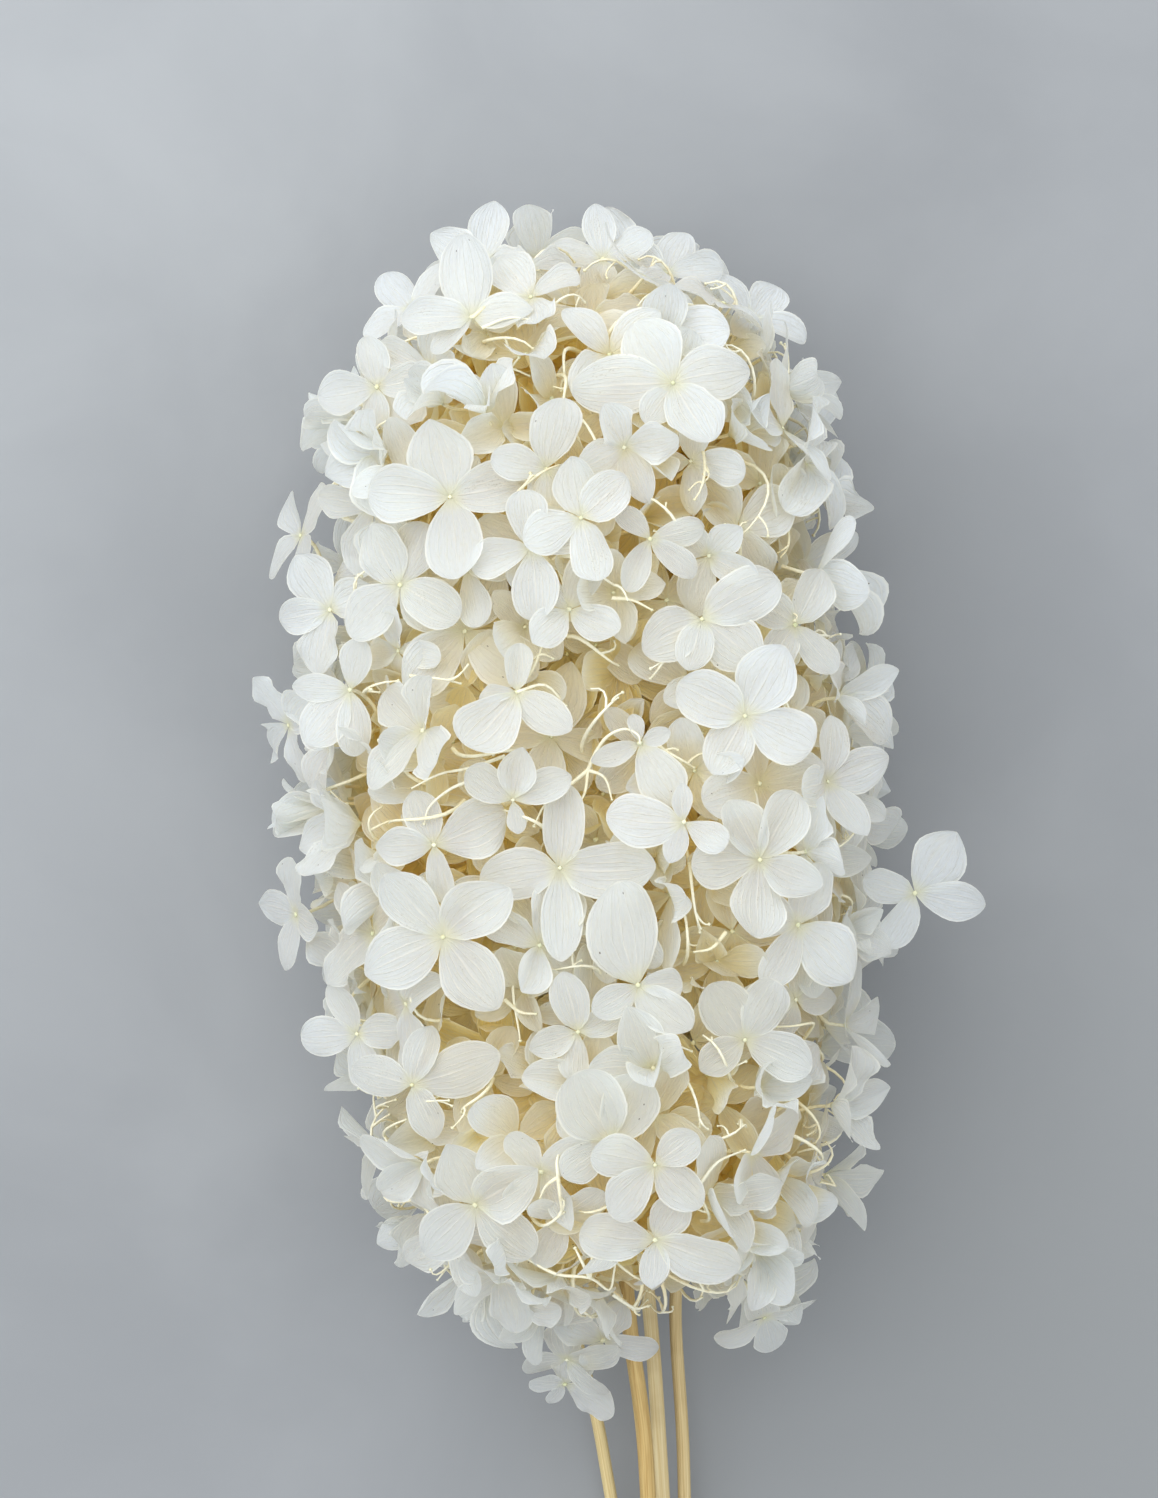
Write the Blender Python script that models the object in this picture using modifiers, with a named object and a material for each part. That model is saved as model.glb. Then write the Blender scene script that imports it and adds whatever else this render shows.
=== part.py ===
"""A bunch of four cut and preserved panicle hydrangea heads, lying on a surface with their stems together.

Metres, +Z up. The surface is z = 0, the tips of the heads point to +Y and the cut stems to -Y. Sizes and
places below are in the bunch's own axes, where x = y = 0 is the middle of the mass of flowers.
"""

import math
import random

import bmesh
import bpy
import numpy as np
from mathutils import Matrix, Vector
from mathutils.bvhtree import BVHTree

# Where the middle of the flowers lies from the origin, which is under the middle of the whole bunch.
BUNCH_PLACE = (-0.005, 0.0903, 0.0)

# The ellipsoid near which each head's florets have their centres.
HEADS = {
    "top": {"centre": (-0.001, 0.063, 0.050), "semi": (0.054, 0.054, 0.047)},
    "left": {"centre": (-0.025, -0.012, 0.049), "semi": (0.034, 0.066, 0.045)},
    "right": {"centre": (0.028, -0.014, 0.050), "semi": (0.035, 0.061, 0.045)},
    "front": {"centre": (0.006, -0.082, 0.054), "semi": (0.050, 0.043, 0.046)},
}
# Pressed together, the heads fill the valleys between them: a lower power fills them more.
CROWDING = 4
# Inside each head is a core of close branches, cut off flat where the next head begins.
CORE_SHARE = 0.80
CORE_DETAIL = 2
CORE_SEAM_GAP = 0.0008
SEAM_GAP = 0.0006
SEAM_CLEAR = 0.002
FLOOR_GAP = 0.0010
SURFACE_STEPS = 24
SURFACE_REACH = 0.1

# A floret: four petals round a small square eye, on a pedicel that is sunk well into the core.
PETALS = 4
FLORET_REACH = 0.0195
BLADE = 0.0007
EYE = 0.0018
PEDICEL_ENDS = (0.0009, 0.0011)
PEDICEL_SIDES = 4
PEDICEL_ROOT = 0.62
PEDICEL_SAMPLES = 12
# A petal's outline, in shares of its length: how far along it each corner lies, and how far to the side.
SHOULDER = (0.42, 0.35)
CHEEK = (0.86, 0.27)
MIDRIB_SPOT = 0.55
MIDRIB_SINK = 0.06
SECTOR_SHARE = 0.88
CUP_RANGE = (math.radians(-12), math.radians(38))
CUP_USUAL = math.radians(16)
CUP_STEP = math.radians(8)
CUP_LIMIT = math.radians(84)
CROSSING_BEND = math.radians(28)
CURL_RANGE = (math.radians(-16), math.radians(8))
LENGTH_RANGE = (0.92, 1.08)
TURN_JITTER = math.radians(3)
LEAN = 0.22
SHIFTS_IN = (0.0, 0.003, 0.006, 0.009)
NEAR = 2.2 * FLORET_REACH

# The florets that stand out in front, as (x, y) seen from above. They are placed first.
SHOWN_FLORETS = (
    (-0.032, -0.038),
    (-0.006, -0.023),
    (0.035, 0.010),
    (0.021, 0.082),
    (0.015, -0.106),
    (-0.024, -0.098),
    (0.030, 0.034),
    (0.037, -0.021),
    (-0.041, 0.038),
    (-0.030, 0.060),
    (0.001, 0.053),
    (-0.001, -0.060),
    (-0.048, -0.054),
    (-0.024, 0.097),
    (-0.046, 0.085),
    (0.035, -0.062),
    (0.046, 0.060),
)
SHOWN_TURN_UP = 0.45

# The florets that stray outside the heads: head, centre, facing and share of the usual reach.
STRAY_FLORETS = (
    ("right", (0.0726, -0.029, 0.060), (0.35, -0.10, 0.93), 0.80),
    ("left", (-0.063, 0.050, 0.054), (-0.85, 0.25, 0.45), 0.75),
    ("left", (-0.066, 0.008, 0.050), (-0.80, -0.20, 0.55), 0.75),
    ("left", (-0.064, -0.034, 0.054), (-0.85, -0.10, 0.50), 0.75),
    ("front", (-0.004, -0.131, 0.046), (-0.15, -0.60, 0.78), 0.70),
    ("front", (0.040, -0.124, 0.050), (0.35, -0.70, 0.60), 0.75),
)

# The florets pressed flat under the bunch by its weight, as (x, y). The bunch rests on them.
PRESSED_FLORETS = {
    "top": (0.000, 0.070),
    "left": (-0.030, -0.004),
    "right": (0.034, -0.010),
    "front": (-0.001, -0.090),
}
PRESSED_SPIN = 0.4

FLORETS_IN_ALL = 120
CANDIDATES_A_HEAD = 600
SEED = 4

# The stems: points from inside the head to where each comes out under the flowers, and radii at both ends.
STEMS = {
    "top": {
        "points": (
            (0.001, 0.050, 0.046),
            (0.001, 0.032, 0.043),
            (0.001, -0.010, 0.036),
            (0.003, -0.045, 0.027),
            (0.009, -0.085, 0.0205),
            (0.0145, -0.122, 0.0165),
            (0.0176, -0.162, 0.0115),
        ),
        "radii": (0.0014, 0.0019),
    },
    "left": {
        "points": (
            (-0.024, -0.034, 0.042),
            (-0.0225, -0.050, 0.037),
            (-0.017, -0.070, 0.026),
            (-0.010, -0.095, 0.0175),
            (-0.003, -0.130, 0.0125),
            (0.0044, -0.162, 0.0090),
        ),
        "radii": (0.0012, 0.0016),
    },
    "right": {
        "points": (
            (0.030, -0.038, 0.043),
            (0.0295, -0.054, 0.037),
            (0.028, -0.074, 0.026),
            (0.025, -0.098, 0.0175),
            (0.0212, -0.125, 0.0140),
            (0.0231, -0.162, 0.0095),
        ),
        "radii": (0.00125, 0.0017),
    },
    "front": {
        "points": (
            (0.008, -0.092, 0.051),
            (0.0088, -0.108, 0.046),
            (0.0102, -0.128, 0.0375),
            (0.0142, -0.162, 0.0230),
        ),
        "radii": (0.0016, 0.0021),
    },
}
# The stems come together on the surface in this row, from left to right, and part again a little.
STEM_ROW = ("left", "front", "top", "right")
GATHER = (0.0185, -0.222)
STEM_SPACE = 0.0005
STEM_ENDS = {
    "left": (0.0085, -0.288),
    "front": (0.0155, -0.303),
    "top": (0.0225, -0.296),
    "right": (0.0305, -0.309),
}
STEM_STEPS = 2
STEM_SIDES_LEVEL = 1
HOLE_CLEARANCE = 0.0003
STEM_CLEARANCE = 0.0011
WELD = 1e-6
SHARP = math.radians(35)

# Colours, linear.
PETAL_COLOUR = (0.83, 0.80, 0.68, 1.0)
STEM_COLOURS = {
    "top": (0.66, 0.52, 0.28, 1.0),
    "left": (0.62, 0.48, 0.24, 1.0),
    "right": (0.68, 0.56, 0.33, 1.0),
    "front": (0.60, 0.41, 0.15, 1.0),
}
PETAL_ROUGHNESS = 0.75
STEM_ROUGHNESS = 0.6


def clear_scene():
    for obj in list(bpy.data.objects):
        bpy.data.objects.remove(obj, do_unlink=True)


def new_collection(name):
    collection = bpy.data.collections.new(name)
    bpy.context.scene.collection.children.link(collection)
    return collection


def new_material(name, colour, roughness):
    material = bpy.data.materials.new(name)
    material.use_nodes = True
    shader = material.node_tree.nodes["Principled BSDF"]
    shader.inputs["Base Color"].default_value = colour
    shader.inputs["Roughness"].default_value = roughness
    shader.inputs["Metallic"].default_value = 0.0
    return material


def new_object(name, mesh, collection):
    obj = bpy.data.objects.new(name, mesh)
    collection.objects.link(obj)
    return obj


def mesh_object(name, bm, collection):
    mesh = bpy.data.meshes.new(name)
    bm.to_mesh(mesh)
    bm.free()
    return new_object(name, mesh, collection)


def axes_facing(facing, spin):
    """A turn whose +Z looks along facing."""
    return Vector(facing).to_track_quat("Z", "Y").to_matrix() @ Matrix.Rotation(spin, 3, "Z")


# Stems


def smooth_path(points, steps):
    """Points along the Catmull-Rom curve through the given ones."""
    known = [Vector(point) for point in points]
    known = [2 * known[0] - known[1]] + known + [2 * known[-1] - known[-2]]
    path = []
    for before, start, end, after in zip(known, known[1:], known[2:], known[3:]):
        for step in range(steps):
            t = step / steps
            path.append(
                0.5
                * (
                    2 * start
                    + (end - before) * t
                    + (2 * before - 5 * start + 4 * end - after) * t**2
                    + (3 * start - before - 3 * end + after) * t**3
                )
            )
    return path + [known[-2]]


def gathered_places():
    """Where each stem lies in the row on the surface in which they come together."""
    thick = {name: STEMS[name]["radii"][1] for name in STEM_ROW}
    x = GATHER[0] - sum(thick.values()) - STEM_SPACE * (len(STEM_ROW) - 1) / 2
    places = {}
    for name in STEM_ROW:
        places[name] = (x + thick[name], GATHER[1], thick[name])
        x += 2 * thick[name] + STEM_SPACE
    return places


def stem_route(name):
    """The stem's points from inside its head to its cut end on the surface, and the radius at each."""
    thin, thick = STEMS[name]["radii"]
    end = (*STEM_ENDS[name], thick)
    path = smooth_path((*STEMS[name]["points"], gathered_places()[name], end), STEM_STEPS)
    radii = [thin + (thick - thin) * index / (len(path) - 1) for index in range(len(path))]
    for place, radius in zip(path, radii):
        place.z = max(place.z, radius)
    return path, radii


def tube(name, path, radii, collection):
    """A round rod along the path, as a curve with filled ends."""
    curve = bpy.data.curves.new(name, "CURVE")
    curve.dimensions = "3D"
    curve.bevel_depth = 1.0
    curve.bevel_resolution = STEM_SIDES_LEVEL
    curve.use_fill_caps = True
    spline = curve.splines.new("POLY")
    spline.points.add(len(path) - 1)
    for point, place, radius in zip(spline.points, path, radii):
        point.co = (*place, 1.0)
        point.radius = radius
    return new_object(name, curve, collection)


def mesh_from_curve(obj, collection):
    """The same solid as a mesh, its caps joined to its sides."""
    graph = bpy.context.evaluated_depsgraph_get()
    mesh = bpy.data.meshes.new_from_object(obj.evaluated_get(graph))
    bm = bmesh.new()
    bm.from_mesh(mesh)
    bmesh.ops.remove_doubles(bm, verts=bm.verts, dist=WELD)
    bmesh.ops.recalc_face_normals(bm, faces=bm.faces)
    made = mesh_object(obj.name + "_mesh", bm, collection)
    made.matrix_world = obj.matrix_world.copy()
    bpy.data.objects.remove(obj, do_unlink=True)
    return made


def stem_hole(name, route, cutters):
    """What a core loses round a stem that ends in it or passes through it."""
    path, radii = route
    along = (path[0] - path[1]).normalized()
    path = [path[0] + HOLE_CLEARANCE * along, *path[1:]]
    widths = [radius + HOLE_CLEARANCE for radius in radii]
    cutter = mesh_from_curve(tube("hole_" + name, path, widths, cutters), cutters)
    cutter.hide_render = True
    cutter.display_type = "WIRE"


# The heads' surface, and the room that each head has


def depth_in(name, point):
    """How far out a point lies in a head: 0 at its centre and 1 on its ellipsoid."""
    head = HEADS[name]
    return np.linalg.norm((np.array(point) - head["centre"]) / np.array(head["semi"]))


def depth_in_bunch(point):
    """The same for the heads pressed together, whose surface bridges the valleys between them."""
    return sum(depth_in(name, point) ** -CROWDING for name in HEADS) ** (-1 / CROWDING)


def outward(point):
    """The outward direction of the bunch's surface at a point."""
    direction = np.zeros(3)
    for name, head in HEADS.items():
        slope = (np.array(point) - head["centre"]) / np.array(head["semi"]) ** 2
        direction += depth_in(name, point) ** (-CROWDING - 2) * slope
    return Vector(direction / np.linalg.norm(direction))


def surface_point(start, direction, reach):
    """Where a straight line from inside the bunch meets its surface."""
    low, high = 0.0, reach
    for _ in range(SURFACE_STEPS):
        middle = (low + high) / 2
        if depth_in_bunch(start + middle * direction) < 1:
            low = middle
        else:
            high = middle
    return start + low * direction


def seams():
    """For each head, the flat seams with the others: a point on each and its direction away from the head."""
    found = {name: [] for name in HEADS}
    for first in HEADS:
        for second in HEADS:
            if first == second:
                continue
            here, there = np.array(HEADS[first]["centre"]), np.array(HEADS[second]["centre"])
            semi, other = np.array(HEADS[first]["semi"]), np.array(HEADS[second]["semi"])
            way = there - here
            share = 1 / (1 + np.linalg.norm(way / semi) / np.linalg.norm(way / other))
            direction = way / (semi**2 + other**2)
            found[first].append((here + share * way, direction / np.linalg.norm(direction)))
    return found


def past_seams(all_seams, name, points):
    """How far the points reach past the head's seams. It is below zero inside them."""
    return max(((points - spot) @ direction).max() for spot, direction in all_seams[name])


def distance_to_path(points, path):
    """The least distance from any of the points to the path's straight pieces."""
    start, step = path[:-1], np.diff(path, axis=0)
    away = points[:, None] - start
    share = np.clip((away * step).sum(-1) / (step * step).sum(-1), 0, 1)
    return np.linalg.norm(away - share[..., None] * step, axis=-1).min()


class Room:
    """The space that one head's florets may use: within its seams, above the surface and off the stems."""

    def __init__(self, name, all_seams, routes):
        self.name = name
        self.seams = all_seams
        self.stems = [(np.array(path), max(radii)) for path, radii in routes.values()]
        self.petals = []

    def holds(self, points, thickness):
        if past_seams(self.seams, self.name, points) > -SEAM_GAP:
            return False
        if points[:, 2].min() < FLOOR_GAP:
            return False
        for path, radius in self.stems:
            if distance_to_path(points, path) < radius + STEM_CLEARANCE + thickness:
                return False
        return True

    def crosses(self, place, petal):
        """Whether a petal passes through one that is already there."""
        tree = petal_tree(place, petal)
        near = (other for spot, other in self.petals if (spot - place).length < NEAR)
        return any(tree.overlap(other) for other in near)

    def add(self, floret):
        for petal in floret.petals:
            self.petals.append((floret.place, petal_tree(floret.place, petal)))


# Florets


def petal_points(length, cup, curl, turn):
    """A petal's own points in its floret's axes: along one side, over the end and back, and its midrib."""
    low_side, high_side = [], []
    out, up, angle, start = 0.0, 0.0, cup, 0.0
    for along, share in (SHOULDER, CHEEK):
        out += (along - start) * length * math.cos(angle)
        up += (along - start) * length * math.sin(angle)
        wide = min(share * length, SECTOR_SHARE * max(out, EYE))
        low_side.append((out, -wide, up))
        high_side.append((out, wide, up))
        start = along
        angle += curl
    middle = MIDRIB_SPOT * length
    midrib = (middle * math.cos(cup), 0, middle * math.sin(cup) - MIDRIB_SINK * length)
    points = [*low_side, *reversed(high_side), midrib]
    spin = Matrix.Rotation(turn, 3, "Z")
    return [spin @ Vector(point) for point in points]


def petal_tree(place, petal):
    """The petal's surface, to test what it meets."""
    points = [place, *map(Vector, petal)]
    return BVHTree.FromPolygons(points, [(0, 1, 5), (1, 2, 5), (2, 3, 5), (3, 4, 5), (4, 0, 5)])


def samples_on(points):
    """The points and those at thirds and halves of the way between each two."""
    found = [points]
    for share in (1 / 3, 1 / 2, 2 / 3):
        found.append((share * points[:, None] + (1 - share) * points[None]).reshape(-1, 3))
    return np.concatenate(found)


def cups_near(cup):
    """Cup angles to try, from the wanted one outwards."""
    steps = int(2 * CUP_LIMIT / CUP_STEP)
    tries = [cup + side * CUP_STEP * step for step in range(steps) for side in (1, -1)]
    return [angle for angle in tries if abs(angle) <= CUP_LIMIT]


def bent_clear(room, place, axes, length, cup, curl, turn):
    """The petal's points, bent up or down from its wanted cup until it is clear, or None.

    It may still cross a petal of its own head where no small bend avoids that.
    """
    second_best = None
    for angle in cups_near(cup):
        local = petal_points(length, angle, curl, turn)
        world = np.array([place + axes @ point for point in local])
        if not room.holds(samples_on(np.vstack([world, place])), BLADE):
            continue
        if second_best is None:
            second_best = world
        if abs(angle - cup) < CROSSING_BEND and not room.crosses(place, world):
            return world
    return second_best


class Floret:
    """Four petals on one pedicel, as points in the bunch's axes."""

    def __init__(self, place, axes, petals, root):
        self.place, self.axes, self.petals, self.root = place, axes, petals, root

    def eye_corners(self):
        angles = ((index - 0.5) * 2 * math.pi / PETALS for index in range(PETALS))
        return [
            self.place + self.axes @ Vector((EYE * math.cos(angle), EYE * math.sin(angle), 0))
            for angle in angles
        ]


def pressed_floret(name, x, y):
    """A floret pressed flat on the surface under its head."""
    centre = Vector(HEADS[name]["centre"])
    above = Vector((x, y, centre.z - HEADS[name]["semi"][2]))
    place = Vector((x, y, 0))
    axes = axes_facing((0, 0, -1), PRESSED_SPIN)
    petals = []
    for index in range(PETALS):
        points = petal_points(FLORET_REACH, 0.0, 0.0, index * 2 * math.pi / PETALS)
        petals.append(np.array([place + axes @ Vector((*point.xy, 0)) for point in points]))
    return Floret(place, axes, petals, centre + PEDICEL_ROOT * (above - centre))


def floret_at(place, facing, draw, room, reach):
    """A floret with its centre near a place on a head, moved in and bent until it is clear, or None."""
    centre = Vector(HEADS[room.name]["centre"])
    cup = draw.triangular(*CUP_RANGE, CUP_USUAL)
    curl = draw.uniform(*CURL_RANGE)
    axes = axes_facing(facing, draw.uniform(0, 2 * math.pi / PETALS))
    lengths = [reach * draw.uniform(*LENGTH_RANGE) for _ in range(PETALS)]
    jitters = [draw.uniform(-TURN_JITTER, TURN_JITTER) for _ in range(PETALS)]
    for shift in SHIFTS_IN:
        spot = place + (centre - place).normalized() * shift
        root = centre + PEDICEL_ROOT * (spot - centre)
        stalk = np.array([spot.lerp(root, share) for share in np.linspace(0, 1, PEDICEL_SAMPLES)])
        if not room.holds(stalk, PEDICEL_ENDS[1]):
            continue
        petals = []
        for index, (length, jitter) in enumerate(zip(lengths, jitters)):
            turn = index * 2 * math.pi / PETALS + jitter
            petals.append(bent_clear(room, spot, axes, length, cup, curl, turn))
        if all(petal is not None for petal in petals):
            return Floret(spot, axes, petals, root)
    return None


def head_holding(all_seams, point):
    """The head in whose share of the space a point lies."""
    return min(HEADS, key=lambda name: past_seams(all_seams, name, np.array([point])))


def candidates(all_seams):
    """Evenly spread points on the outside of the bunch, each with its head."""
    golden = math.pi * (3 - math.sqrt(5))
    names, points = [], []
    for name, head in HEADS.items():
        for index in range(CANDIDATES_A_HEAD):
            up = 1 - (2 * index + 1) / CANDIDATES_A_HEAD
            ring = math.sqrt(1 - up * up)
            unit = np.array((ring * math.cos(golden * index), ring * math.sin(golden * index), up))
            unit = unit * head["semi"] / np.linalg.norm(unit * head["semi"])
            point = surface_point(np.array(head["centre"]), unit, SURFACE_REACH)
            if past_seams(all_seams, name, np.array([point])) < -SEAM_CLEAR:
                names.append(name)
                points.append(point)
    return names, np.array(points)


def place_florets(rooms, all_seams):
    """Every floret of the bunch, by head. Each new one goes where the bunch is barest."""
    draw = random.Random(SEED)
    florets = {name: [] for name in HEADS}

    def keep(name, floret):
        if floret is not None:
            florets[name].append(floret)
            rooms[name].add(floret)
        return floret is not None

    for name, (x, y) in PRESSED_FLORETS.items():
        keep(name, pressed_floret(name, x, y))
    for x, y in SHOWN_FLORETS:
        start = np.array((x, y, HEADS["top"]["centre"][2]))
        place = surface_point(start, np.array((0, 0, 1)), SURFACE_REACH)
        name = head_holding(all_seams, place)
        facing = outward(place) + Vector((0, 0, SHOWN_TURN_UP))
        keep(name, floret_at(Vector(place), facing, draw, rooms[name], FLORET_REACH))
    taken = [np.array(floret.place) for name in HEADS for floret in florets[name]]
    for name, place, facing, share in STRAY_FLORETS:
        keep(name, floret_at(Vector(place), facing, draw, rooms[name], FLORET_REACH * share))

    names, points = candidates(all_seams)
    bare = np.linalg.norm(points[:, None] - np.array(taken), axis=2).min(axis=1)
    while sum(map(len, florets.values())) < FLORETS_IN_ALL and bare.max() > 0:
        index = int(bare.argmax())
        lean = Vector([draw.uniform(-LEAN, LEAN) for _ in range(3)])
        facing = outward(points[index]) + lean
        place = Vector(points[index])
        if keep(names[index], floret_at(place, facing, draw, rooms[names[index]], FLORET_REACH)):
            bare = np.minimum(bare, np.linalg.norm(points - points[index], axis=1))
        bare[index] = 0
    return florets


# Solids


def floret_solid(name, floret, collection):
    """The petals and the eye as one surface with a thickness."""
    bm = bmesh.new()
    corners = [bm.verts.new(corner) for corner in floret.eye_corners()]
    eye = bm.faces.new(corners)
    for index, petal in enumerate(floret.petals):
        *sides, midrib = [bm.verts.new(point) for point in petal]
        edge = [corners[index], *sides, corners[(index + 1) % PETALS]]
        for first, second in zip(edge, edge[1:] + edge[:1]):
            bm.faces.new((first, second, midrib))
    bmesh.ops.triangulate(bm, faces=[eye])
    obj = mesh_object(name, bm, collection)
    blade = obj.modifiers.new("Blade", "SOLIDIFY")
    blade.thickness = BLADE
    blade.offset = -1


def pedicel_solid(name, floret, collection):
    """A straight rod from inside the core to the middle of the floret's blade."""
    top = floret.place - floret.axes @ Vector((0, 0, BLADE / 2))
    along = top - floret.root
    bm = bmesh.new()
    bmesh.ops.create_cone(
        bm,
        cap_ends=True,
        segments=PEDICEL_SIDES,
        radius1=PEDICEL_ENDS[0],
        radius2=PEDICEL_ENDS[1],
        depth=along.length,
    )
    obj = mesh_object(name, bm, collection)
    obj.location = floret.root + along / 2
    obj.rotation_mode = "QUATERNION"
    obj.rotation_quaternion = along.to_track_quat("Z", "Y")


def core_solid(name, all_seams, routes, collection):
    """The head's inner mass of branches, with plain holes for the stems."""
    bm = bmesh.new()
    bmesh.ops.create_icosphere(bm, subdivisions=CORE_DETAIL, radius=CORE_SHARE)
    bmesh.ops.scale(bm, verts=bm.verts, vec=HEADS[name]["semi"])
    bmesh.ops.translate(bm, verts=bm.verts, vec=HEADS[name]["centre"])
    for spot, direction in all_seams[name]:
        cut = bmesh.ops.bisect_plane(
            bm,
            geom=[*bm.verts, *bm.edges, *bm.faces],
            plane_co=spot - CORE_SEAM_GAP * direction,
            plane_no=direction,
            clear_outer=True,
        )
        rim = [item for item in cut["geom_cut"] if isinstance(item, bmesh.types.BMEdge)]
        bmesh.ops.edgenet_fill(bm, edges=rim)
    bmesh.ops.recalc_face_normals(bm, faces=bm.faces)
    core = mesh_object("flowers_" + name, bm, collection)
    cutters = new_collection("cutters_" + name)
    for stem, route in routes.items():
        stem_hole(stem, route, cutters)
    apply_boolean(core, "DIFFERENCE", cutters)
    return core


def signed_volume(faces):
    total = 0.0
    for face in faces:
        first, *rest = [vert.co for vert in face.verts]
        for second, third in zip(rest, rest[1:]):
            total += first.dot(second.cross(third)) / 6
    return total


def separate_bodies(bm):
    """The mesh's closed surfaces, each as its list of faces."""
    unseen = set(bm.faces)
    bodies = []
    while unseen:
        body, found = [], [unseen.pop()]
        while found:
            face = found.pop()
            body.append(face)
            near = {other for edge in face.edges for other in edge.link_faces} & unseen
            unseen -= near
            found.extend(near)
        bodies.append(body)
    return bodies


def keep_main_body(mesh):
    """Drops loose scraps and fills sealed hollows: the closed surfaces apart from the largest."""
    bm = bmesh.new()
    bm.from_mesh(mesh)
    bodies = sorted(separate_bodies(bm), key=signed_volume)
    scraps = [face for body in bodies[:-1] for face in body]
    bmesh.ops.delete(bm, geom=scraps, context="FACES")
    bm.to_mesh(mesh)
    bm.free()


def apply_boolean(obj, operation, collection):
    """Joins or cuts with everything in a collection, and removes what was used up."""
    modifier = obj.modifiers.new(operation, "BOOLEAN")
    modifier.operation = operation
    modifier.operand_type = "COLLECTION"
    modifier.collection = collection
    modifier.solver = "MANIFOLD"
    graph = bpy.context.evaluated_depsgraph_get()
    mesh = bpy.data.meshes.new_from_object(obj.evaluated_get(graph))
    obj.modifiers.clear()
    obj.data = mesh
    for used in list(collection.objects):
        bpy.data.objects.remove(used, do_unlink=True)


def head_of_flowers(name, florets, all_seams, routes, parts, material):
    """One head: its core and florets fused."""
    head = core_solid(name, all_seams, routes, parts)
    repeats = new_collection("florets_" + name)
    for index, floret in enumerate(florets):
        floret_solid(f"floret_{name}_{index}", floret, repeats)
        pedicel_solid(f"pedicel_{name}_{index}", floret, repeats)
    apply_boolean(head, "UNION", repeats)
    keep_main_body(head.data)
    head.data.materials.clear()
    head.data.materials.append(material)
    head.data.shade_smooth()
    head.data.set_sharp_from_angle(angle=SHARP)
    return head


def main():
    clear_scene()
    parts = new_collection("preserved_hydrangea")
    bunch = new_object("bunch", None, parts)
    bunch.location = BUNCH_PLACE
    routes = {name: stem_route(name) for name in HEADS}
    all_seams = seams()
    rooms = {name: Room(name, all_seams, routes) for name in HEADS}
    florets = place_florets(rooms, all_seams)
    petals = new_material("preserved_petals", PETAL_COLOUR, PETAL_ROUGHNESS)
    for name in HEADS:
        head = head_of_flowers(name, florets[name], all_seams, routes, parts, petals)
        stem = tube("stem_" + name, *routes[name], parts)
        straw = new_material("straw_" + name, STEM_COLOURS[name], STEM_ROUGHNESS)
        stem.data.materials.append(straw)
        head.parent = bunch
        stem.parent = bunch


main()
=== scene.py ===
"""The looks of a held bunch of four cut and preserved hydrangea heads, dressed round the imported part.

Metres, +Z up. Sizes and places are in the bunch's own axes, as in the part's source: x = y = 0 is the middle
of the mass of flowers, the tips of the heads point to +Y and the cut stems to -Y.
"""

import functools
import math
import random
from types import SimpleNamespace

import bpy
import numpy as np
from mathutils import Matrix, Vector
from mathutils.bvhtree import BVHTree


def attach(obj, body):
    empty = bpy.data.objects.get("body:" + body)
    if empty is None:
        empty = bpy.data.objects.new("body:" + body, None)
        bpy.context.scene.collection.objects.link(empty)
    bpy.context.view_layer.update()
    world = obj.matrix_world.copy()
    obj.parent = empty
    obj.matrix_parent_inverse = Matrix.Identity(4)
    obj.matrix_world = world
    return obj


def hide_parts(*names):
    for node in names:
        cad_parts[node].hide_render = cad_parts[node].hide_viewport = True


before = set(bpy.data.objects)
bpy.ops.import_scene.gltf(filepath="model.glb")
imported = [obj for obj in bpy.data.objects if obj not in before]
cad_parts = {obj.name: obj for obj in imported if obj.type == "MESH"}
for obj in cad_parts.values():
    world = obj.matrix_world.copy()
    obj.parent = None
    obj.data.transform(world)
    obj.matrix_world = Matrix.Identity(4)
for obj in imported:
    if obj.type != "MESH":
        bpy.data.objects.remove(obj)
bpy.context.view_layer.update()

# The bunch, as in the part's source.
BUNCH_PLACE = np.array((-0.005, 0.0903, 0.0))
HEADS = {
    "top": {"centre": (-0.001, 0.063, 0.050), "semi": (0.054, 0.054, 0.047)},
    "left": {"centre": (-0.025, -0.012, 0.049), "semi": (0.034, 0.066, 0.045)},
    "right": {"centre": (0.028, -0.014, 0.050), "semi": (0.035, 0.061, 0.045)},
    "front": {"centre": (0.006, -0.082, 0.054), "semi": (0.050, 0.043, 0.046)},
}
# The higher, the sharper are the seams where the heads press together.
CROWDING = 4

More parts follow.
